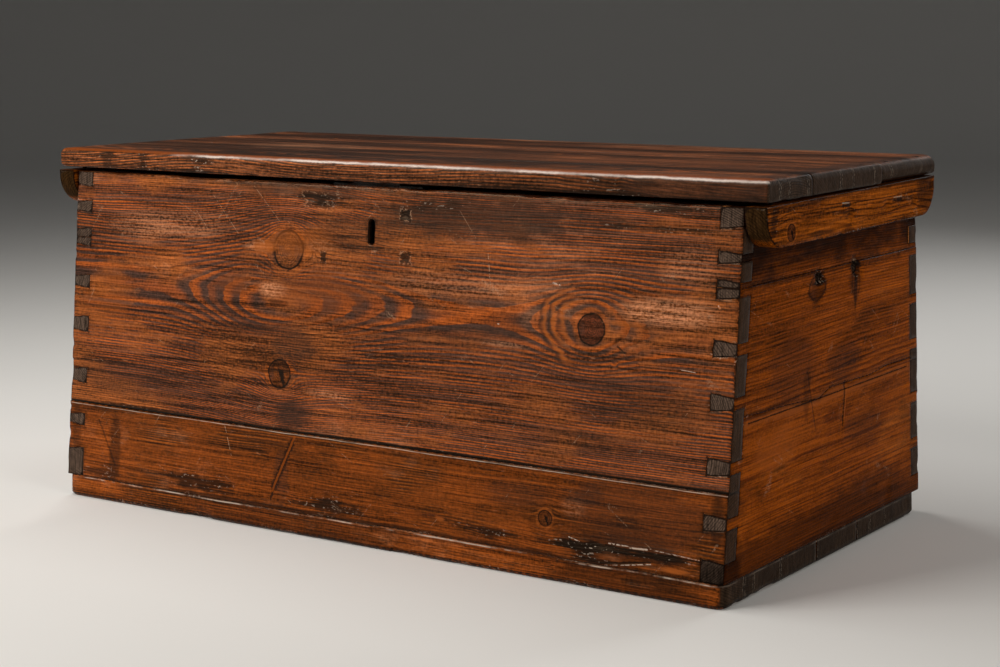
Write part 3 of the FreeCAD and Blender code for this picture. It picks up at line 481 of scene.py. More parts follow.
TILL_TONES = dict(
    WALL_TONES, clean_early=paint(164, 118, 72), clean_late=paint(128, 82, 44),
    dirty_early=paint(120, 84, 52), dirty_late=paint(134, 90, 50), grime=paint(58, 38, 24),
    rubbed=paint(176, 136, 94), end=paint(112, 82, 54), end_lines=paint(76, 54, 34))
# The ground and the ring lines of each kind of knot.
KNOT_TONES = {
    "brown": (paint(146, 80, 38), paint(88, 46, 24)),
    "split": (paint(118, 60, 24), paint(74, 36, 15)),
    "dark": (paint(96, 46, 26), paint(54, 27, 17)),
}
# Black-brown of dirt, gouges and dark joints, also used for painted shade: the batten's shadow on
# the ends and the shade in the front's and back's seams.
GRIME_AND_SHADE = paint(20, 13, 9)
SOOT = paint(42, 31, 27)
PALE = paint(196, 156, 124)
# Pale grey of chipped wood, also used for painted highlights along the edges of the batten's
# slots.
CHIP_AND_HIGHLIGHT = paint(186, 168, 150)
CREAM = paint(222, 200, 180)
GLINT = paint(232, 214, 202)
AMBER = paint(178, 94, 36)
EMBER = paint(156, 74, 16)
UMBER = paint(124, 64, 32)
DUST = paint(104, 76, 50), paint(146, 108, 72)


class Wood(Graph):
    """Old pine: u runs along the grain, v across it and w down into the board."""

    def __init__(self, name, axes, tones, seed, fineness):
        super().__init__(name)
        self.tones = tones
        self.seed = seed
        along, facing, place = axes
        self.u, self.v, self.w = place(self)
        self.fibre = self.grain(16, 900)
        self.streak = self.grain(4, 150, detail=3)
        self.grit = self.grain(260, 420)
        self.cloud = self.grain(5.5, 13, 7, detail=5, rough=0.62)
        self.tone = self.grain(2.6, 6.5, 19, detail=4)
        self.blotch = self.grain(32, 60, detail=4, rough=0.6)
        self.dashes = self.grain(60, 380 * fineness, 5, detail=3, rough=0.6)
        self.lines = self.grain(9, 475 * fineness, detail=3, rough=0.6)
        self.joint = self.attribute("joint")
        self.face = self.step(self.size_of(self.normal[facing]), 0.5, 0.8)
        self.end_grain = self.step(self.size_of(self.normal[along]), 0.5, 0.72)

    def grain(self, along, across, shift=0, detail=2, rough=0.5):
        """Noise that follows the grain; along and across are lumps per metre."""
        deep = self.w * across + (self.seed + shift)
        return self.noise(self.u * along, self.v * across, deep, 1, detail, rough)

    def rough(self, **amounts):
        """The sum of these noises, each from minus to plus half its amount."""
        first, *rest = [(getattr(self, name) - 0.5) * size for name, size in amounts.items()]
        return sum(rest, first)

    def lay(self, share, colour):
        """Lay a colour over what is there."""
        self.colour = self.mix(share, self.colour, colour)

    def dim(self, amount):
        """Multiply what is there."""
        self.colour = self.shade(self.colour, amount)

    def oval(self, middle, height, half_u, half_v):
        """0 in the middle of an oval, 1 on its outline; sizes in millimetres."""
        du = (self.u - middle * MM) / (half_u * MM)
        dv = (self.v - height * MM) / (half_v * MM)
        return self.root(du * du + dv * dv)


def count_rings(g, pith, gap, eyes, knots):
    """How many growth rings lie between the pith and each point of the board."""
    slow = g.grain(2.2, 5)
    depth2 = (pith[1] * MM) ** 2 + (slow - 0.5) * 0.0016
    for middle, height, half_u, half_v, rise in eyes:
        off = g.bell(g.u, middle * MM, half_u * MM)
        if half_v:
            off = off * g.bell(g.v, height * MM, half_v * MM)
        depth2 = depth2 - off * (rise * MM * MM)
    depth = g.root(g.most(depth2, 0.00004)) - g.w
    bent = g.v
    for middle, height, size, stretch, _ in knots:
        du = (g.u - middle * MM) / stretch
        dv = g.v - height * MM
        bent = bent - dv * (size * MM) ** 2 / g.most(du * du + dv * dv, (size * MM) ** 2)
    bent = bent - pith[0] * MM + (slow - 0.5) * 0.018
    radius = g.root(bent * bent + depth * depth)
    uneven = g.noise(radius * 60, g.seed, g.seed)
    wobble = g.grain(8, 55, detail=3)
    shiver = g.grain(40, 200)
    return radius / (gap * MM) + (uneven - 0.5) * 3.2 + (wobble - 0.5) + (shiver - 0.5) * 0.22


def lay_ground(g, rings, dirt, rubs):
    """Ring lines on clean, dirty and rubbed wood; g keeps a thin and a wide form of the lines."""
    phase = g.math("FRACT", rings)
    pick = g.noise(g.math("FLOOR", rings) * 0.73 + g.seed, g.u * 2, g.seed, detail=1)
    edge = g.step(phase, 1.0, 0.9)
    g.thin = g.step(phase, 0.5, 0.88) * edge * (0.3 + 0.7 * g.step(pick, 0.3, 0.62))
    g.wide = g.step(phase, 0.25, 0.7) * edge * (0.35 + 0.65 * g.step(pick, 0.3, 0.6))
    dirty = g.step(g.cloud + g.rough(blotch=0.18) + (dirt - 0.5), 0.43, 0.58)
    clean_wood = g.mix(g.thin, g.tones["clean_early"], g.tones["clean_late"])
    dirty_wood = g.mix(g.wide, g.tones["dirty_early"], g.tones["dirty_late"])
    g.colour = g.mix(dirty, clean_wood, dirty_wood)
    rubbed = g.step(g.tone + g.rough(blotch=0.4), 0.56, 0.72)
    g.lay(rubbed * 0.28, g.tones["rubbed"])
    for *place, strength in rubs:
        far = g.oval(*place) + g.rough(cloud=1.2, grit=0.5)
        wear_and_glint = g.step(far, 1.0, 0.3) * g.step(g.fibre + g.grit, 0.75, 1.1)
        g.lay(wear_and_glint * strength, g.tones["rubbed"])


def lay_knot(g, middle, height, size, kind):
    """A knot with its own rings, a dark bark edge and a pale collar."""
    size = size * MM
    du = g.u - middle * MM
    dv = g.v - height * MM
    uneven = g.noise(du * 40, dv * 40, g.seed)
    r = g.root(du * du + dv * dv) * (0.84 + 0.3 * uneven)
    warp = g.noise(du * 55, dv * 55, size * 100, detail=3)
    crumbs = g.noise(du * 420, dv * 420, size * 100)
    spokes = g.noise(du / r * 5, dv / r * 5, r * 70)
    mottle = g.noise(du * 130, dv * 130, size * 300, detail=4, rough=0.65)
    rings = g.math("FRACT", r / (2.6 * MM) + warp * 3.2)
    core = g.mix(g.step(rings, 0.3, 0.95) * g.step(mottle, 0.42, 0.58), *KNOT_TONES[kind])
    core = g.shade(core, g.most(crumbs * 0.5 + spokes * 1.2 + mottle * 1.6 - 0.75, 0.2))
    core = g.mix(g.step(warp, 0.50, 0.62) * 0.55, core, g.tones["dirty_early"])
    if kind == "split":
        across = (du + dv * 0.35 - size * 0.12) / (size * 0.24)
        along = (dv + size * 0.2) / (size * 0.7)
        torn = g.root(across * across + along * along)
        torn = torn + (spokes - 0.5) * 1.6 + (crumbs - 0.5) * 1.4
        core = g.mix(g.step(torn, 1.2, 0.6), core, g.tones["grime"])
    off_bark = g.size_of(r - size * 0.95 + (mottle - 0.5) * size * 0.12)
    bark = g.step(off_bark, size * 0.10, size * 0.02) * g.step(warp, 0.24, 0.44)
    off_ring = g.size_of(r - size * 0.76 + (warp - 0.5) * size * 0.3)
    ring = g.step(off_ring, size * 0.05, size * 0.01) * 0.6 * g.step(mottle, 0.4, 0.6)
    g.lay(g.step(g.size_of(r - size * 1.22), size * 0.28, 0.0) * 0.35, AMBER)
    g.lay(g.step(r, size * 0.97, size * 0.87), core)
    g.lay(g.most(bark, ring), g.tones["grime"])


def lay_fibres(g, contrast, brightness):
    """Light and dark fibres, dark pores and small rubbed spots."""
    hatch = g.grain(620, 90, detail=1)
    level = (1.5 * g.tone + 1.2 * g.streak + g.fibre + 2.3 * g.lines
             + 1.2 * g.grit + 0.5 * g.dashes + 0.5 * hatch)
    g.dim(g.most((level - 4.1) * contrast + brightness, 0.12))
    g.flecks = g.step(g.grain(55, 430), 0.62, 0.72)
    g.lay(g.flecks * 0.4, g.tones["grime"])
    wear_and_glint = g.step(g.grain(70, 300, 3), 0.66, 0.76) * g.step(g.blotch, 0.45, 0.6)
    g.lay(wear_and_glint * 0.4, g.tones["rubbed"])


def lay_patches(g, smudges, bruises):
    """Soft smudges, and torn dark bruises with pale crumbs in them."""
    for colour, *place, strength in smudges:
        far = g.oval(*place) + g.rough(cloud=1.8, blotch=0.9)
        g.lay(g.step(far, 1.0, 0.45) * strength, colour)
    torn = g.rough(cloud=1.6, blotch=2.6, streak=2.2, lines=1.2)
    for *place, strength in bruises:
        far = g.oval(*place) + torn
        crumbs = g.step(far, 1.1, 0.8) * g.step(g.grit + g.dashes, 1.17, 1.27)
        g.lay(g.step(far, 1.3, 0.35) * strength, GRIME_AND_SHADE)
        g.lay(crumbs * strength * 0.55, CHIP_AND_HIGHLIGHT)


def hairlines(g, turn, seed):
    """Thin broken scratches that all run about the same way."""
    across = g.v * math.cos(turn) - g.u * math.sin(turn)
    along = g.u * math.cos(turn) + g.v * math.sin(turn)
    course = g.noise(along * 4, across * 34, seed, detail=1)
    where = g.noise(along * 26, across * 34, seed + 4)
    crumbs = g.noise(g.u * 420, g.v * 420, seed, detail=1)
    line = g.step(g.size_of(course - 0.5), 0.014, 0.004)
    return line * g.step(where, 0.6, 0.68) * g.step(crumbs, 0.42, 0.6)


def lay_marks(g, marks):
    """Hairlines all over the face, and single scratches and gouges."""
    g.scratches = g.most(hairlines(g, 0.9, g.seed), hairlines(g, -0.5, g.seed + 9)) * g.face
    g.lay(g.scratches * 0.3, PALE)
    for colour, u1, v1, u2, v2, width, strength in marks:
        width = width * MM
        off = g.segment(g.u, g.v, (u1 * MM, v1 * MM), (u2 * MM, v2 * MM))
        off = off + (g.blotch - 0.5) * width * 0.8 + (g.grit - 0.5) * width * 1.2
        mark = g.step(off, width, width * 0.3) * g.face * strength
        if colour in (PALE, CREAM):
            mark = mark * g.step(g.grit, 0.4, 0.56)
        g.lay(mark, colour)
        g.scratches = g.most(g.scratches, mark)


def lay_edges(g, chips, arrises):
    """Dirt and pale chips along every edge, and the long level arrises."""
    far = g.joint + g.rough(streak=9 * MM, blotch=6 * MM)
    g.lay(g.step(far, 6 * MM, 0.0) * 0.4, g.tones["grime"])
    seam = g.step(g.joint + g.rough(grit=1.2 * MM), 1.3 * MM, 0.5 * MM)
    g.lay(seam * 0.85, g.tones["grime"])
    near = g.step(g.joint + g.rough(blotch=9 * MM), 3.2 * MM, 0.6 * MM)
    where = g.step(g.grain(15, 15, 2, detail=3), 0.54, 0.64)
    g.chipped = near * g.step(g.grit, 0.55, 0.66) * where
    g.lay(g.chipped * chips, CHIP_AND_HIGHLIGHT)
    drift = g.noise(g.u * 14, g.seed, g.seed + 1, detail=4)
    broken = g.noise(g.u * 30, g.seed + 8, g.seed, detail=4, rough=0.6)
    # Level lines along the seam of the front's or back's boards: a pale line is a painted
    # highlight on the lower board's upper arris, a dark line is the dark joint with painted shade
    # in the seam.
    for colour, height, half, strength in arrises:
        off = g.size_of(g.v - (FRONT_SEAM + height * MM) + (drift - 0.5) * 2 * MM)
        line = g.step(off, half * MM, half * 0.35 * MM)
        if colour != GRIME_AND_SHADE:
            line = line * (0.3 + 0.7 * g.step(broken, 0.36, 0.62))
        g.lay(line * strength * g.face, colour)


def lay_inside(g, depth):
    """The clean inner face of a wall, which starts at this depth."""
    inner = g.step(g.w, (depth - 6) * MM, depth * MM) * (1 - g.end_grain)
    clean = g.mix(g.thin * 0.8, g.tones["inside"], g.tones["inside_lines"])
    level = 0.9 * g.tone + 0.9 * g.streak + 0.5 * g.fibre + 0.4 * g.blotch - 0.4
    g.lay(inner, g.shade(clean, g.most(level, 0.2)))


def lay_end_grain(g, end_run):
    """Rings, pores, splits and grimy edges on the ends of the board."""
    pores = g.noise(g.x * 500, g.y * 500, g.z * 500)
    across, through = g.v * end_run[0], g.w * end_run[1] + g.seed
    split = g.noise(g.u * 40, across, through, detail=3, rough=0.6)
    ends = g.mix(g.wide * 0.65, g.tones["end"], g.tones["end_lines"])
    ends = g.shade(ends, g.most(0.9 + (pores - 0.5) * 1.4 + (split - 0.5) * 2.6, 0.1))
    ends = g.mix(g.chipped * 0.2, ends, CHIP_AND_HIGHLIGHT)
    seam = g.step(g.joint + g.rough(grit=0.8 * MM), 1.7 * MM, 0.9 * MM)
    g.lay(g.end_grain, g.mix(seam * 0.85, ends, g.tones["grime"]))


def finish_wood(g, roughness, specular):
    """Relief and gloss."""
    relief = g.wide * 0.5 + g.rough(fibre=0.8, streak=0.6)
    relief = relief - g.scratches * 0.8 - g.flecks * 0.5
    lumps = g.grain(25, 70, detail=3) + g.rough(blotch=0.3)
    normal = g.bump(lumps, 1 * MM, g.bump(relief, 0.25 * MM))
    polished = g.step(g.joint + g.rough(blotch=6 * MM), 5 * MM, 1 * MM)
    uneven = g.rough(cloud=0.2, fibre=0.2)
    gloss = roughness + uneven + g.end_grain * 0.22 - polished * 0.16
    g.shader.inputs["Specular IOR Level"].default_value = specular
    g.shader.inputs["Specular Tint"].default_value = (1, 0.62, 0.34, 1)
    return g.finish(g.colour, gloss, normal)


def make_wood(name, axes, tones, seed, pith=(0, 50), gap=2.9, eyes=(), knots=(), dirt=0.5,
              rubs=(), smudges=(), bruises=(), marks=(), arrises=(), chips=0.5,
              inside_depth=None, end_run=(45, 600), contrast=1.25, brightness=0.84,
              fineness=1, roughness=0.37, specular=0.15, extra=None):
    """The finish of a board. Lengths are in millimetres; u is along the grain, v across it.

    pith: v and depth. gap: between rings. end_run: lumps per metre of end grain, by v and by w.
    eyes: u, v, half u, half v or 0 for all v, rise of the rings in square millimetres.
    knots: u, v, radius, stretch of the flow round it, kind. rubs, bruises: u, v, half u, half v,
    strength. smudges: colour and the same. marks: colour, u and v of both ends, width, strength.
    arrises: colour, height above the front's seam, half width, strength.
    """
    g = Wood(name, axes, tones, seed, fineness)
    lay_ground(g, count_rings(g, pith, gap, eyes, knots), dirt, rubs)
    for middle, height, size, _, kind in knots:
        lay_knot(g, middle, height, size, kind)
    lay_fibres(g, contrast, brightness)
    lay_patches(g, smudges, bruises)
    lay_marks(g, marks)
    lay_edges(g, chips, arrises)
    if inside_depth is not None:
        lay_inside(g, inside_depth)
    lay_end_grain(g, end_run)
    if extra is not None:
        extra(g)
    return finish_wood(g, roughness, specular)


# Which of x, y and z runs along the grain, which way the board's face looks, and u, v and w.
front_axes = (0, 1, lambda g: (g.x, g.z, g.y + (wall_out(0) - g.z * SPLAY)))
back_axes = (0, 1, lambda g: (g.x, g.z, (wall_out(0) - g.z * SPLAY) - g.y))
right_axes = (1, 0, lambda g: (g.y, g.z, HALF_WIDTH - g.x))
left_axes = (1, 0, lambda g: (g.y, g.z, HALF_WIDTH + g.x))
batten_axes = (1, 0, lambda g: (g.y, g.z, LID_END - g.size_of(g.x)))
lid_axes = (0, 2, lambda g: (g.x, g.y, LID_TOP - g.z))
flat_axes = (0, 2, lambda g: (g.x, g.y, g.z))
till_long_axes = (0, 1, lambda g: (g.x, g.z, g.y))
till_cross_axes = (1, 0, lambda g: (g.y, g.z, g.x))


# --- what only one board has ---

# Plugged marks in the front: middle (x, z) and half sizes (x, z) in millimetres, strength.
PLUGS = ((46, 372, 7, 6, 0.9), (48, 325, 8, 7, 0.8), (-67, 319, 4, 6, 0.9), (-81, 382, 16, 8, 0.5))
# Rope wear on the right end, in the same form with y for x.
ROPE_RINGS = ((-46, 302, 21, 13.5, 0.75), (53, 300, 11, 20, 0.5))
# Splits in end grain: y and half width in millimetres, strength.
BOTTOM_CRACKS = ((-204, 1.3, 0.9), (-183, 0.9, 0.8), (-121, 1.1, 0.9), (-35, 2.0, 0.7),
                 (70, 1.0, 0.9), (105, 0.9, 0.9), (150, 0.8, 0.7))
LID_CRACKS = ((-192, 0.9, 0.9), (-171, 0.6, 0.7), (-128, 0.7, 0.8), (-49, 1.0, 0.9),
              (-18, 0.6, 0.7), (36, 0.7, 0.8), (83, 1.0, 0.8), (166, 0.7, 0.7))


def front_details(g):
    """The plugged marks of the upper front board, and the curl left of its right-hand knot."""
    for middle, height, half_x, half_z, strength in PLUGS:
        du = g.size_of(g.u - middle * MM) / (half_x * MM)
        dv = g.size_of(g.v - height * MM) / (half_z * MM)
        far = g.most(du, dv) + g.rough(blotch=1.6, grit=1.2)
        g.lay(g.step(far, 1.15, 0.7) * strength, GRIME_AND_SHADE)
        rim = g.step(g.size_of(far - 1.1), 0.2, 0.05) * g.step(g.grit, 0.5, 0.6)
        g.lay(rim * strength * 0.5, PALE)
    warp = g.noise(g.u * 24, g.v * 30, 2)
    curl = g.oval(290, 270, 56, 42) + (warp - 0.5) * 0.5
    curl = curl + g.rough(blotch=0.12, grit=0.06)
    left = g.step(g.u + (warp - 0.5) * 0.03, 0.278, 0.256) * (0.6 + 0.8 * g.grit)
    gaps = g.bell(curl, 0.74, 0.05) + g.bell(curl, 0.93, 0.04) + g.bell(curl, 1.12, 0.04)
    bands = g.bell(curl, 0.64, 0.05) + g.bell(curl, 0.84, 0.05) + g.bell(curl, 1.03, 0.045)
    g.lay(gaps * left * 0.6, SOOT)
    g.lay(bands * left * 0.62, AMBER)


def end_cracks(g, cracks):
    """Upright splits with pale chips beside them, in end grain that faces left or right."""
    end = g.step(g.size_of(g.normal[0]), 0.4, 0.7)
    drift = g.noise(g.x * 12, g.y * 12, 3, detail=3)
    jog = g.noise(g.y * 30, g.z * 110, 6, detail=3)
    ragged = (drift - 0.5) * 0.008 + (jog - 0.5) * 0.006 + g.rough(grit=0.0016)
    for place, half, strength in cracks:
        off = g.size_of(g.y - place * MM + ragged)
        g.lay(g.step(off, half * MM, half * 0.5 * MM) * end * strength, GRIME_AND_SHADE)
        chip = g.bell(off, (half + 0.8) * MM, 0.5 * MM) * g.step(g.grit, 0.4, 0.6)
        g.lay(chip * end * strength * 0.5, CHIP_AND_HIGHLIGHT)


def lid_edges(g):
    """Streaks on top, part wood and part painted sheen, with painted sheen brightening the top
    towards the right; the rubbed strip behind the front arris; and a painted highlight along the
    arris itself.
    """
    up = g.step(g.normal[2], 0.6, 0.9)
    front = g.step(g.normal[1], -0.6, -0.9)
    # Streaks along the top, part the wood's own and part painted sheen; the last term paints the
    # top lighter towards the right as sheen.
    broad = g.noise(g.x * 1.6, g.y * 20, 5, detail=4, rough=0.6)
    level = broad * 7.5 - 3.85 + (g.step(g.x, -0.35, 0.40) - 0.5) * 0.95
    g.dim(g.most(1 + up * level, 0.3))
    strip = g.step(g.y + g.rough(blotch=0.02), LID_FRONT + 0.026, LID_FRONT + 0.012) * up
    g.lay(strip * 0.7 * (0.4 + g.grit), EMBER)
    lines = g.noise(g.x * 60 + g.z * 420, g.z * 260 - g.x * 14, g.y, detail=3)
    g.dim(1 + front * (lines * 2.6 - 0.8))
    left_part = g.step(g.x + g.rough(blotch=0.1), 0.30, 0.10)
    g.dim(1 + front * (left_part * 0.75 - 0.4))
    end_cracks(g, LID_CRACKS)
    # A painted highlight along the front arris, from a little left of the middle to the right end.
    ragged = g.rough(blotch=0.0024, grit=0.001)
    arris_highlight = g.bell(g.z + ragged, LID_TOP - 0.0026, 0.0011)
    arris_highlight = arris_highlight * g.step(g.y, LID_FRONT + 0.008, LID_FRONT + 0.006)
    glow = g.noise(g.x * 9, 1, 4, detail=4, rough=0.6)
    wear_and_glint = g.step(g.x + g.rough(blotch=0.1), -0.31, -0.22)
    g.lay(arris_highlight * wear_and_glint * (0.35 + 0.75 * g.step(glow, 0.36, 0.56)), GLINT)


def end_details(g):
    """Rope wear round the right end's holes, the batten's shadow painted as a darker top board,
    and its black front foot.
    """
    for *place, strength in ROPE_RINGS:
        ring = g.oval(*place) + g.rough(blotch=0.5, grit=0.3)
        g.lay(g.bell(ring, 0.95, 0.15) * strength, GRIME_AND_SHADE)
    # The top board lies under the batten, and its shadow is painted here as a darker band on the
    # outer face.
    painted_batten_shadow = g.step(g.z + g.rough(blotch=0.01), END_SEAM - 0.004, END_SEAM + 0.016)
    outside = g.step(g.normal[0], 0.6, 0.9)
    foot = g.step(g.z + g.rough(blotch=0.02), 0.058, 0.040) * g.step(g.y, -0.205, -0.222)
    g.dim((1 - 0.5 * painted_batten_shadow * outside) * (1 - 0.7 * foot))


def bottom_edges(g):
    """A painted highlight along the upper arris of the bottom boards, the splits in their ends and
    the dusty inside.
    """
    drift = g.noise(g.x * 12, g.y * 12, 3, detail=3)
    broken = g.noise(g.x * 26, g.y * 26, 9, detail=4, rough=0.6)
    end = g.step(g.size_of(g.normal[0]), 0.4, 0.7)
    # A painted highlight along the upper arris, broken in places, on the outer faces.
    off_level = g.z + (drift - 0.5) * 0.003
    arris_highlight = g.bell(off_level, FLOOR_TOP - 0.0018, 0.0007) * g.step(broken, 0.40, 0.6)
    outside = g.step(g.size_of(g.normal[2]), 0.97, 0.9) * (1 - 0.75 * end)
    g.lay(arris_highlight * outside * 0.75, CREAM)
    end_cracks(g, BOTTOM_CRACKS)
    inside = g.step(g.z, FLOOR_TOP - 0.003, FLOOR_TOP - 0.001)
    for place, limit in ((g.x, INSIDE_X), (g.y, INSIDE_Y)):
        inside = inside * g.step(g.size_of(place), limit + 0.002, limit - 0.002)
    dusty = g.shade(g.mix(broken, *DUST), 0.5 + 0.6 * g.grit + 0.4 * g.blotch)
    g.lay(inside * 0.85, dusty)


# --- the boards' finishes ---

wall_front = make_wood(
    "wall_front_upper", front_axes, WALL_TONES, seed=3, pith=(270, 113), gap=1.85, dirt=0.54,
    inside_depth=19, extra=front_details, contrast=1.35,
    eyes=((-140, 0, 100, 0, 2100), (-20, 0, 90, 0, 700), (288, 268, 60, 52, 1200)),
    knots=((-118, 324, 22.5, 1.35, "brown"), (-124, 182, 16.5, 1.3, "split"),
        (290, 267, 16.5, 1.2, "dark")),
    # The dark line just above the seam is the dark joint with painted shade in the seam.
    arrises=((GRIME_AND_SHADE, 0.8, 3, 1),),
    rubs=((-140, 277, 26, 12, 0.9), (-350, 340, 80, 30, 0.4), (120, 300, 120, 20, 0.3),
        (-50, 165, 50, 8, 0.5), (375, 291, 70, 20, 0.8), (185, 242, 40, 5, 0.6),
        (-280, 345, 120, 30, 0.4), (400, 340, 50, 30, 0.35), (-165, 327, 30, 10, 0.6),
        (-72, 331, 30, 8, 0.5)),
    smudges=((SOOT, -100, 392, 120, 12, 0.6), (SOOT, 170, 374, 200, 30, 0.75),
        (SOOT, -360, 160, 100, 30, 0.25), (AMBER, -110, 335, 70, 20, 0.3),
        (SOOT, -105, 214, 35, 20, 0.5), (SOOT, -160, 362, 30, 20, 0.3),
        (SOOT, -20, 350, 60, 26, 0.3), (SOOT, -105, 138, 36, 24, 0.7),
        (SOOT, -150, 235, 70, 12, 0.4), (SOOT, 100, 245, 120, 20, 0.3),
        (SOOT, 185, 258, 50, 28, 0.45), (SOOT, 340, 200, 120, 30, 0.3),
        (SOOT, -320, 150, 120, 20, 0.2), (SOOT, 300, 150, 160, 18, 0.2),
        (AMBER, -152, 327, 24, 12, 0.6), (AMBER, -400, 250, 50, 60, 0.25),
        (UMBER, -60, 277, 80, 28, 0.5), (UMBER, -200, 277, 30, 20, 0.4),
        (AMBER, 258, 276, 20, 4, 0.45), (AMBER, 330, 275.5, 26, 4, 0.4)),
    bruises=((-70, 384, 30, 7, 0.8), (75, 384, 75, 6, 0.7), (372, 394, 40, 6, 0.8),
        (350, 374, 60, 3, 0.6), (-360, 119, 70, 3, 0.8), (50, 118.5, 160, 2.2, 0.8)),
    marks=((PALE, -240.3, 386.4, -192.8, 336.6, 0.5, 0.6),
        (PALE, -172.9, 394, -131.8, 354.8, 0.5, 0.5), (PALE, -261.1, 362.1, -242.8, 342, 0.5, 0.5),
        (PALE, 157.3, 336.2, 161.8, 303.6, 0.7, 0.7), (PALE, 118, 380, 142, 350, 0.5, 0.4),
        (CREAM, 396.2, 235.2, 414.4, 233.9, 0.6, 0.7), (CREAM, 241, 311.2, 250, 309.6, 1.7, 0.7),
        (AMBER, 434.5, 303, 436.8, 300, 2, 0.9), (CREAM, 435, 302, 436.5, 300.4, 1.1, 0.7),
        (CREAM, 173.8, 263.2, 175, 263.2, 1.1, 0.8), (GRIME_AND_SHADE, 322, 252, 331, 246, 1.5, 0.8)))
wall_lower = make_wood(
    "wall_front_lower", front_axes, LOWER_TONES, seed=11, pith=(-30, 50), gap=3, specular=0.1,
    dirt=0.46, inside_depth=19, brightness=0.78, contrast=0.95, chips=0.2,
    knots=((245.5, 65.5, 8.5, 1.1, "split"),),
    # The pale line just under the seam is a painted highlight on the board's upper arris.
    arrises=((CREAM, -1.9, 0.6, 0.6),),
    rubs=((280, 80, 20, 16, 0.35),),
    smudges=((GRIME_AND_SHADE, -378, 70, 12, 50, 0.6), (GRIME_AND_SHADE, 0, 26, 500, 6, 0.6),
        (GRIME_AND_SHADE, 447, 36, 22, 22, 0.95), (GRIME_AND_SHADE, 448, 90, 10, 40, 0.6),
        (SOOT, -115, 70, 14, 40, 0.4), (SOOT, 210, 85, 50, 20, 0.35),
        (GRIME_AND_SHADE, -445, 90, 8, 50, 0.4), (GRIME_AND_SHADE, 335, 45, 100, 22, 0.6),
        (SOOT, 360, 75, 120, 45, 0.4), (SOOT, 300, 95, 20, 12, 0.3), (AMBER, 405, 33, 25, 4, 0.6),
        (AMBER, 109, 46, 10, 4, 0.6)),
    bruises=((-260, 43, 55, 10, 0.85), (-40, 40, 38, 9, 0.85), (170, 42, 40, 8, 0.85),
        (300, 41, 42, 10, 0.95), (385, 44, 60, 5, 0.95), (-400, 36, 50, 8, 0.7)),
    marks=((PALE, -203, 114, -191, 80, 0.7, 0.8), (GRIME_AND_SHADE, -100, 106, -126, 50, 5.8, 0.85),
        (GRIME_AND_SHADE, -126, 50, -131, 36, 2.6, 0.8), (EMBER, -97, 112, -128, 46, 2, 0.6),
        (GRIME_AND_SHADE, -407, 98, -378, 47, 2.4, 0.5), (GRIME_AND_SHADE, 315.6, 28.5, 373.9, 37, 1.6, 0.9),
        (CREAM, 318.6, 26.5, 373.9, 35, 0.9, 0.7), (GRIME_AND_SHADE, 320, 47, 430.6, 46.5, 1.5, 0.9),
        (CREAM, 323.6, 49.6, 348, 50.6, 1.2, 0.7), (CREAM, 350, 49.2, 370, 50, 1.5, 0.7),
        (CREAM, 373.2, 50.8, 430.6, 47.8, 0.8, 0.6), (GRIME_AND_SHADE, 277.4, 48, 285, 38, 1.6, 0.9),
        (CREAM, 276, 50, 289, 47, 0.8, 0.7)))
wall_back = make_wood(
    "wall_back", back_axes, WALL_TONES, seed=23, pith=(240, 100), gap=2.4, dirt=0.55,
    inside_depth=19,
    # A dark joint line with painted shade above the seam, and a painted highlight on the lower
    # board's upper arris.
    arrises=((GRIME_AND_SHADE, 1, 2.2, 0.95), (CREAM, -1.9, 0.6, 0.5)),
    eyes=((100, 0, 100, 0, 2000), (-300, 0, 80, 0, 1500)),
    knots=((210, 290, 18, 1.3, "brown"), (-170, 120, 14, 1.3, "dark")),
    smudges=((SOOT, 0, 385, 400, 14, 0.6), (GRIME_AND_SHADE, 0, 30, 500, 12, 0.8)))
end_right = make_wood(
    "end_right", right_axes, END_TONES, seed=31, pith=(160, 120), gap=2.4, dirt=0.4, specular=0.01,
    inside_depth=24, contrast=0.95, brightness=0.95, fineness=1.1, chips=0.3, extra=end_details,
    smudges=((GRIME_AND_SHADE, -46, 300, 26, 20, 0.5), (GRIME_AND_SHADE, 48, 304, 18, 24, 0.6),
        # The wide band along the top, at 405, is painted shadow of the batten together with dirt.
        (GRIME_AND_SHADE, 52, 285, 6, 30, 0.7), (GRIME_AND_SHADE, 0, 405, 600, 100, 0.8), (GRIME_AND_SHADE, 0, 30, 500, 50, 0.6),
        (SOOT, -100, 235, 70, 50, 0.35), (SOOT, 30, 215, 50, 30, 0.4),
        (SOOT, 90, 130, 80, 30, 0.3), (AMBER, 0, 181, 300, 7, 0.5),
        (AMBER, -140, 140, 60, 30, 0.3), (GRIME_AND_SHADE, -66, 195, 10, 30, 0.4)),
    bruises=((-41, 313, 11, 10, 0.95), (52, 312, 12, 13, 0.95)),
    marks=((GRIME_AND_SHADE, 29.3, 190, 25.8, 142.4, 2.6, 0.7), (AMBER, 34, 186, 30, 150, 1.5, 0.6),
        (GRIME_AND_SHADE, -66, 215, -43, 149, 2, 0.5), (PALE, 48, 322, 56, 320, 2, 0.8),
        (PALE, -47, 306.5, -36, 306.5, 1, 0.8),
        (GRIME_AND_SHADE, -200, END_SEAM / MM, 200, END_SEAM / MM, 1, 0.9),
        (GRIME_AND_SHADE, -200, END_LOW_SEAM / MM, 200, END_LOW_SEAM / MM, 1.2, 0.9)))
end_left = make_wood(
    "end_left", left_axes, END_TONES, seed=41, pith=(240, 100), gap=2.4, dirt=0.45, specular=0.03,
    inside_depth=24, contrast=1, brightness=0.95, fineness=1.1, chips=0.3,
    smudges=((GRIME_AND_SHADE, -41, 299, 22, 24, 0.7), (GRIME_AND_SHADE, 50, 300, 18, 30, 0.7),
        # The band along the top, at 375, is painted shadow of the batten together with dirt.
        (GRIME_AND_SHADE, 0, 375, 400, 36, 0.6), (GRIME_AND_SHADE, 0, 30, 400, 20, 0.8)))
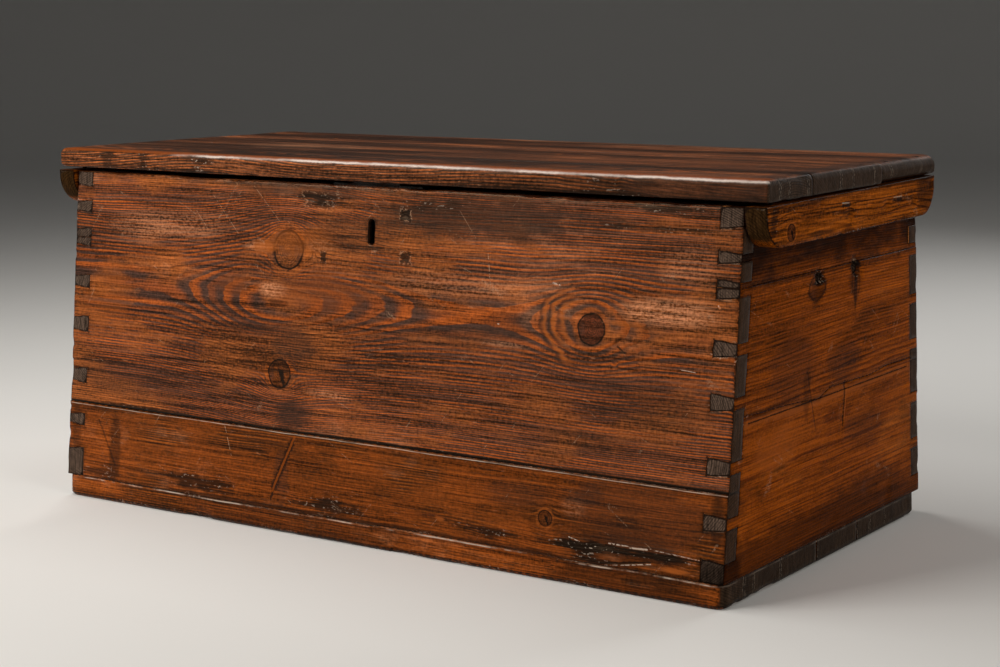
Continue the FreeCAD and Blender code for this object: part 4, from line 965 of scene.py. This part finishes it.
lid_wood = make_wood(
    "lid_boards", lid_axes, LID_TONES, seed=53, pith=(-160, 100), gap=2.6, dirt=0.58,
    roughness=0.46, extra=lid_edges, end_run=(500, 40), specular=0.1,
    eyes=((200, 0, 200, 0, 3000), (-250, 0, 150, 0, 3000)),
    knots=((120, 10, 14, 1.4, "dark"), (-300, 120, 13, 1.4, "dark")),
    smudges=((SOOT, 420, -210, 140, 50, 0.6), (SOOT, 470, 0, 20, 300, 0.6)),
    bruises=((-405, -212, 14, 20, 0.7), (-345, -212, 8, 20, 0.7), (-250, -216, 20, 6, 0.6),
        (300, -214, 30, 8, 0.6)))
batten_wood = make_wood(
    "lid_battens", batten_axes, BATTEN_TONES, seed=61, pith=(360, 35), gap=2.8, specular=0.01,
    dirt=0.36, contrast=1.3, brightness=0.78, fineness=1,
    knots=((-165, 372, 9, 1.3, "split"),),
    smudges=((GRIME_AND_SHADE, -100, 366, 60, 4, 0.7), (GRIME_AND_SHADE, 180, 385, 30, 30, 0.6),
        (GRIME_AND_SHADE, 0, 404, 300, 4, 0.7)),
    bruises=((-35, 381, 30, 4, 0.8), (-205, 385, 8, 20, 0.7)),
    # Two dark slots in the outer face, each with a painted highlight along its upper edge.
    marks=((GRIME_AND_SHADE, -44, 389.5, -26, 388.5, 2.2, 0.9), (GRIME_AND_SHADE, 88, 385, 110, 384.8, 2.2, 0.9),
        (CHIP_AND_HIGHLIGHT, 88, 388.5, 110, 388.3, 0.8, 0.7), (CHIP_AND_HIGHLIGHT, -46, 392.5, -28, 391.5, 0.8, 0.8)))
bottom_wood = make_wood(
    "bottom_boards", flat_axes, BOTTOM_TONES, seed=71, pith=(-190, 100), gap=2.4, dirt=0.5,
    chips=0.3, extra=bottom_edges, end_run=(240, 30), contrast=1.3, specular=0.1,
    smudges=((GRIME_AND_SHADE, 350, -250, 100, 100, 0.6), (GRIME_AND_SHADE, -100, -250, 200, 100, 0.4)))
till_long, till_cross, till_floor = (
    make_wood(f"till_{name}", axes, TILL_TONES, seed, pith, dirt=0.3, chips=0, contrast=0.7,
              brightness=1, specular=0.2)
    for name, axes, seed, pith in (
        ("long_boards", till_long_axes, 83, (120, 50)),
        ("cross_boards", till_cross_axes, 87, (110, 50)),
        ("floor_board", flat_axes, 91, (50, 60))))


# --- iron ---

def make_iron(name, bare, rust, rust_share, roughness):
    """Dark wrought iron with rust in patches."""
    g = Graph(name)
    patches = g.noise(g.x, g.y, g.z, scale=90, detail=5, rough=0.65)
    grains = g.noise(g.x, g.y, g.z, scale=900, detail=3)
    rusty = g.step(patches + (rust_share - 0.5), 0.42, 0.62)
    colour = g.shade(g.mix(rusty, bare, rust), 0.6 + grains * 0.8)
    g.shader.inputs["Metallic"].default_value = 0.75
    normal = g.bump(grains + patches, 0.15 * MM)
    return g.finish(colour, roughness + rusty * 0.25 + (grains - 0.5) * 0.15, normal)


# Name, bare and rusty colour, share of rust, roughness; each is named after its slot.
IRONS = {look[0]: make_iron(*look) for look in (
    ("hinge_iron", paint(62, 57, 53), paint(74, 42, 26), 0.5, 0.46),
    ("lock_iron", paint(44, 41, 38), paint(58, 36, 24), 0.45, 0.58),
    ("nail_iron", paint(34, 29, 26), paint(54, 31, 20), 0.6, 0.55))}


# --- dressing the frame ---

LEVELS = ("lower", "middle", "upper")
# Body, slot and wear of each kind of board.
wall = ("carcase", "wall_pine", wear_carcase)
bottom = ("carcase", "bottom_pine", wear_carcase)
lid = ("lid", "lid_pine", wear_lid)
batten = ("lid", "lid_pine", wear_batten)
runner = ("carcase", "till_pine", leave)
till = ("till", "till_pine", leave)
# Kind, finish, pitch along x, y and z, nodes.
for (body, slot, wear), finish, pitch, names in (
        (wall, wall_front, (3.2, 5, 3), ["front_upper_board"]),
        (wall, wall_lower, (3.2, 5, 3), ["front_lower_board"]),
        (wall, wall_back, (8, 6, 6), ["back_upper_board", "back_lower_board"]),
        (wall, end_right, (5, 4, 3), [f"right_end_{level}_board" for level in LEVELS]),
        (wall, end_left, (6, 8, 5), [f"left_end_{level}_board" for level in LEVELS]),
        (bottom, bottom_wood, (4, 6, 4), ["bottom_front_board"]),
        (bottom, bottom_wood, (8, 4, 4), ["bottom_middle_board", "bottom_rear_board"]),
        (lid, lid_wood, (4, 5, 4), ["lid_front_board"]),
        (lid, lid_wood, (6, 6, 4), ["lid_middle_board", "lid_rear_board"]),
        (batten, batten_wood, (8, 4, 4), ["lid_right_batten"]),
        (batten, batten_wood, (8, 6, 5), ["lid_left_batten"]),
        (runner, till_long, (10, 6, 6), ["till_front_runner", "till_back_runner"]),
        (till, till_long, (10, 4, 6), ["till_front", "till_back"]),
        (till, till_cross, (4, 10, 6), ["till_left_end", "till_right_end", "till_divider"]),
        (till, till_floor, (12, 12, 4), ["till_bottom"])):
    for name in names:
        make_board(name, body, finish, pitch, wear)

# Every CAD node in an iron slot that stays in sight gets that iron's finish.
for part in frame["record"]["subparts"]:
    item = nodes[part["node"]]
    if part["material_slot"] in IRONS and not item.hide_render:
        item.data.materials.clear()
        item.data.materials.append(IRONS[part["material_slot"]])


# --- studio ---

def make_floor():
    """A pale floor that rises far off into a wall all round, with no edge to see."""
    flat, bend, top, around = 6, 5, 9, 96    # radii and height in metres, corners in a ring
    rings = [(radius, 0) for radius in (0.5, 1, 2, 3, 4, 5, flat)]
    for degrees in range(6, 91, 6):
        turn = math.radians(degrees)
        rings.append((flat + bend * math.sin(turn), bend - bend * math.cos(turn)))
    rings.append((flat + bend, top))
    mesh = bmesh.new()
    last = None
    for radius, height in rings:
        ring = [mesh.verts.new((radius * math.cos(math.tau * i / around),
                                radius * math.sin(math.tau * i / around), height))
                for i in range(around)]
        if last is None:
            mesh.faces.new(ring)
        else:
            for i in range(around):
                j = (i + 1) % around
                mesh.faces.new((last[j], last[i], ring[i], ring[j]))
        last = ring
    data = bpy.data.meshes.new("floor")
    mesh.to_mesh(data)
    mesh.free()
    data.shade_smooth()
    floor = bpy.data.objects.new("floor", data)
    bpy.context.scene.collection.objects.link(floor)
    g = Graph("studio_floor")
    clouds = g.noise(g.x, g.y, g.z, scale=3, detail=3)
    colour = g.mix(clouds * 0.3, paint(240, 238, 234), paint(234, 231, 226))
    g.shader.inputs["Specular IOR Level"].default_value = 0.1
    data.materials.append(g.finish(colour, 0.85, g.bump(clouds, 0.0002)))


def make_light(name, place, target, size, power, tint=(1, 1, 1)):
    """A soft box; place, target and size in metres, power in watts."""
    data = bpy.data.lights.new(name, "AREA")
    data.shape = "RECTANGLE"
    data.size, data.size_y = size
    data.energy = power
    data.spread = math.radians(150)
    data.color = tint
    light = bpy.data.objects.new(name, data)
    light.location = place
    light.rotation_euler = (Vector(target) - Vector(place)).to_track_quat("-Z", "Y").to_euler()
    bpy.context.scene.collection.objects.link(light)


def make_camera():
    """The camera of the photograph: place in metres, angles in radians, focal length in pixels."""
    place = Vector((1.3554, -1.9660, 0.5829))
    yaw, pitch, roll = -0.5949, 0.1519, -0.0037
    focal, picture_width, sensor_width = 2003.9, 1000, 36
    level = math.cos(pitch)
    forward = Vector((math.sin(yaw) * level, math.cos(yaw) * level, -math.sin(pitch)))
    right = Vector((math.cos(yaw), -math.sin(yaw), 0))
    up = right.cross(forward)
    side = right * math.cos(roll) + up * math.sin(roll)
    top = up * math.cos(roll) - right * math.sin(roll)
    data = bpy.data.cameras.new("camera")
    data.sensor_width = sensor_width
    data.lens = focal / picture_width * sensor_width
    data.shift_x = -0.00107
    data.shift_y = -0.0076
    camera = bpy.data.objects.new("camera", data)
    turn = Matrix((side, top, -forward)).transposed().to_4x4()
    camera.matrix_world = Matrix.Translation(place) @ turn
    bpy.context.scene.collection.objects.link(camera)
    bpy.context.scene.camera = camera


make_floor()
CHEST = (0, 0, 0.22)
make_light("key", (-1.5, -2.5, 1.8), CHEST, (1.7, 1.3), 44, (1, 0.97, 0.93))
make_light("top", (-0.95, -0.1, 2.15), (-0.1, -0.1, 0.4), (2.2, 0.14), 17, (1, 0.98, 0.95))
make_light("fill", (2.7, -0.7, 1.3), CHEST, (1.2, 1.2), 12, (1, 0.96, 0.9))
make_light("rear", (0.9, 2.7, 1.7), CHEST, (1.4, 1.0), 14)
world = bpy.data.worlds.new("studio")
world.use_nodes = True
background = world.node_tree.nodes["Background"]
background.inputs["Color"].default_value = (0.9, 0.92, 0.95, 1)
background.inputs["Strength"].default_value = 0.045
bpy.context.scene.world = world
bpy.context.scene.view_settings.view_transform = "Standard"
make_camera()
